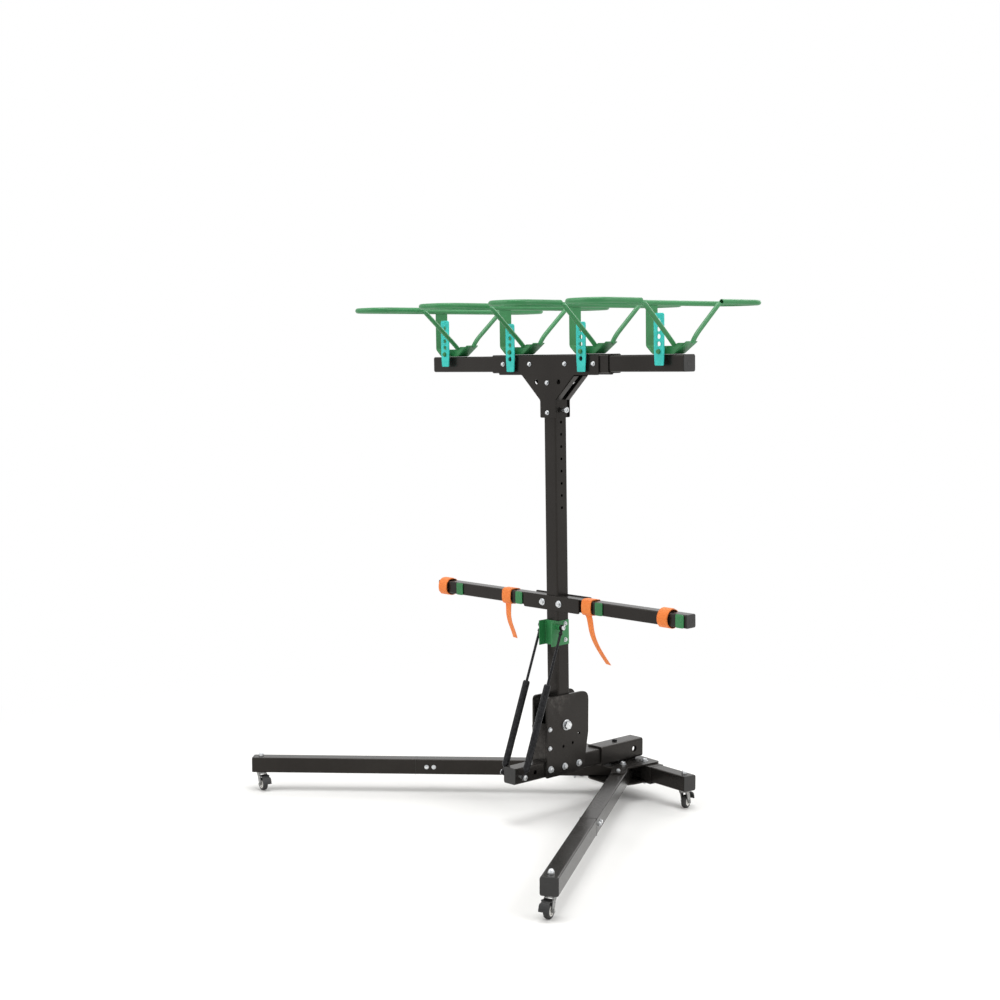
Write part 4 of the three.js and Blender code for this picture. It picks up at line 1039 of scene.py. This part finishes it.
def rubber_strap(number, place):
    """A moulded strap with raised eyelets and a ribbed thumb tab, drawn in X and Y from its lowest hole"""
    outline = arc_corners(mm((-15.96, -40, 4), (15.96, -40, 4), (19, 4, 24), (19, 110, 7), (-19, 110, 7),
                             (-19, 4, 24)))
    rises = [i * RUBBER_PITCH for i in range(5)]
    sheet = flat_plate(outline, 4 * MM, [arc(0, rise, 7.5 * MM, 0, 360, 28)[1:] for rise in rises], 0.9 * MM)
    eyelet = mm((7.5, 0), (9.4, 0), (9.1, 0.8), (8.4, 1.1), (7.6, 0.8), (7.5, 0))
    eyes = [moved(turned(eyelet, 36), shift(0, rise, 1.9 * MM)) for rise in rises]
    ribs = [soften(slab(22 * MM, 1.3 * MM, 1.6 * MM, shift(0, (104 - 4.5 * i) * MM, 2.2 * MM)), 0.5 * MM)
            for i in range(4)]
    name = f"rubber_strap_{number}"
    done(join([sheet, *eyes, *ribs]), name + "_moulded", "teal_rubber", "head", place, [name])


# Floor, lights and camera

def background(tree):
    """1 where the camera, a mirror or glass looks at this surface, so that it can show plain white there"""
    ray = add_node(tree, "ShaderNodeLightPath")
    total = ray.outputs["Is Camera Ray"]
    for kind in ("Is Glossy Ray", "Is Transmission Ray"):
        more = add_node(tree, "ShaderNodeMath", {"operation": "MAXIMUM"}, [total, ray.outputs[kind]])
        total = more.outputs[0]
    return total


FLOOR_CLEAR, FLOOR_WHITE, WORLD_LIGHT = 1.15, 2.6, 0.6       # the floor fades to white between the first two
AIM = Vector((0, 0, 0.75))


def stage():
    floor = start(bpy.ops.mesh.primitive_circle_add, radius=40, vertices=96, fill_type="NGON")
    floor.name = "floor"
    finish = Finish("floor")
    tone = finish.noise(0.8, 3)
    finish.set(Base_Color=finish.mix(tone, (0.9, 0.9, 0.89), (0.93, 0.93, 0.92)), Roughness=0.9)
    tree = finish.tree
    far = finish.node("ShaderNodeVectorMath", {"operation": "LENGTH"}, [finish.where]).outputs["Value"]
    fade = finish.node("ShaderNodeMapRange", {"interpolation_type": "SMOOTHERSTEP"},
                       {"Value": far, "From Min": FLOOR_CLEAR, "From Max": FLOOR_WHITE})
    share = Number(finish, fade.outputs["Result"]) * background(tree)
    white = finish.node("ShaderNodeEmission").outputs[0]
    blend = finish.node("ShaderNodeMixShader", None, [share, finish.shader.outputs[0], white])
    tree.links.new(blend.outputs[0], tree.nodes["Material Output"].inputs["Surface"])
    floor.data.materials.append(finish.material)
    world = bpy.data.worlds.new("studio")
    bpy.context.scene.world = world
    world.use_nodes = True
    tree = world.node_tree
    seen = add_node(tree, "ShaderNodeBackground", None, {"Color": (1, 1, 1)})
    lit = tree.nodes["Background"]
    feed(tree, lit.inputs["Color"], (1.0, 0.985, 0.965))
    feed(tree, lit.inputs["Strength"], WORLD_LIGHT)
    choice = add_node(tree, "ShaderNodeMixShader", None, [background(tree), lit.outputs[0], seen.outputs[0]])
    tree.links.new(choice.outputs[0], tree.nodes["World Output"].inputs["Surface"])
    lamp("key", (4.4, 1.4, 3.4), 3.0, 85)
    lamp("fill", (-2.2, -3.4, 3.6), 3.0, 60)
    lamp("back", (-0.6, 4.2, 3.4), 3.2, 50)
    lamp("top", (0.2, -0.2, 5.2), 2.8, 110)


def lamp(name, place, size, power):
    data = bpy.data.lights.new(name, "AREA")
    data.shape, data.size, data.energy = "DISK", size, power
    light = linked(name, data)
    light.location = place
    light.rotation_mode = "QUATERNION"
    light.rotation_quaternion = (AIM - Vector(place)).to_track_quat("-Z", "Y")


CAMERA_OFF_PIVOT = Vector((3.391, -3.486, 1.385))
CAMERA_AZIMUTH, CAMERA_DOWN = math.radians(46.4), math.radians(4.603)
FOCAL_PIXELS, FRAME_PIXELS, SENSOR = 1560, 1000, 36


def camera():
    data = bpy.data.cameras.new("camera")
    data.sensor_width = SENSOR
    data.lens = FOCAL_PIXELS / FRAME_PIXELS * SENSOR
    eye = linked("camera", data)
    eye.location = Vector((PIVOT.x, PIVOT.y, 0)) + CAMERA_OFF_PIVOT
    look = Vector((-math.sin(CAMERA_AZIMUTH) * math.cos(CAMERA_DOWN),
                   math.cos(CAMERA_AZIMUTH) * math.cos(CAMERA_DOWN), -math.sin(CAMERA_DOWN)))
    eye.rotation_mode = "QUATERNION"
    eye.rotation_quaternion = look.to_track_quat("-Z", "Y")
    bpy.context.scene.camera = eye


bpy.context.scene.view_settings.view_transform = "Standard"
camera()
stage()
legs()
hub()
receiver()
casters()
foot()
struts()
mast()
lower_bar()
head()
for place, station in enumerate(STATIONS, 1):
    basket(place, station)
for template in TEMPLATES:
    bpy.data.objects.remove(template)
for node, piece in frame["nodes"].items():
    piece.data.materials.clear()
    piece.data.materials.append(LOOKS[NODE_SLOT[node]])
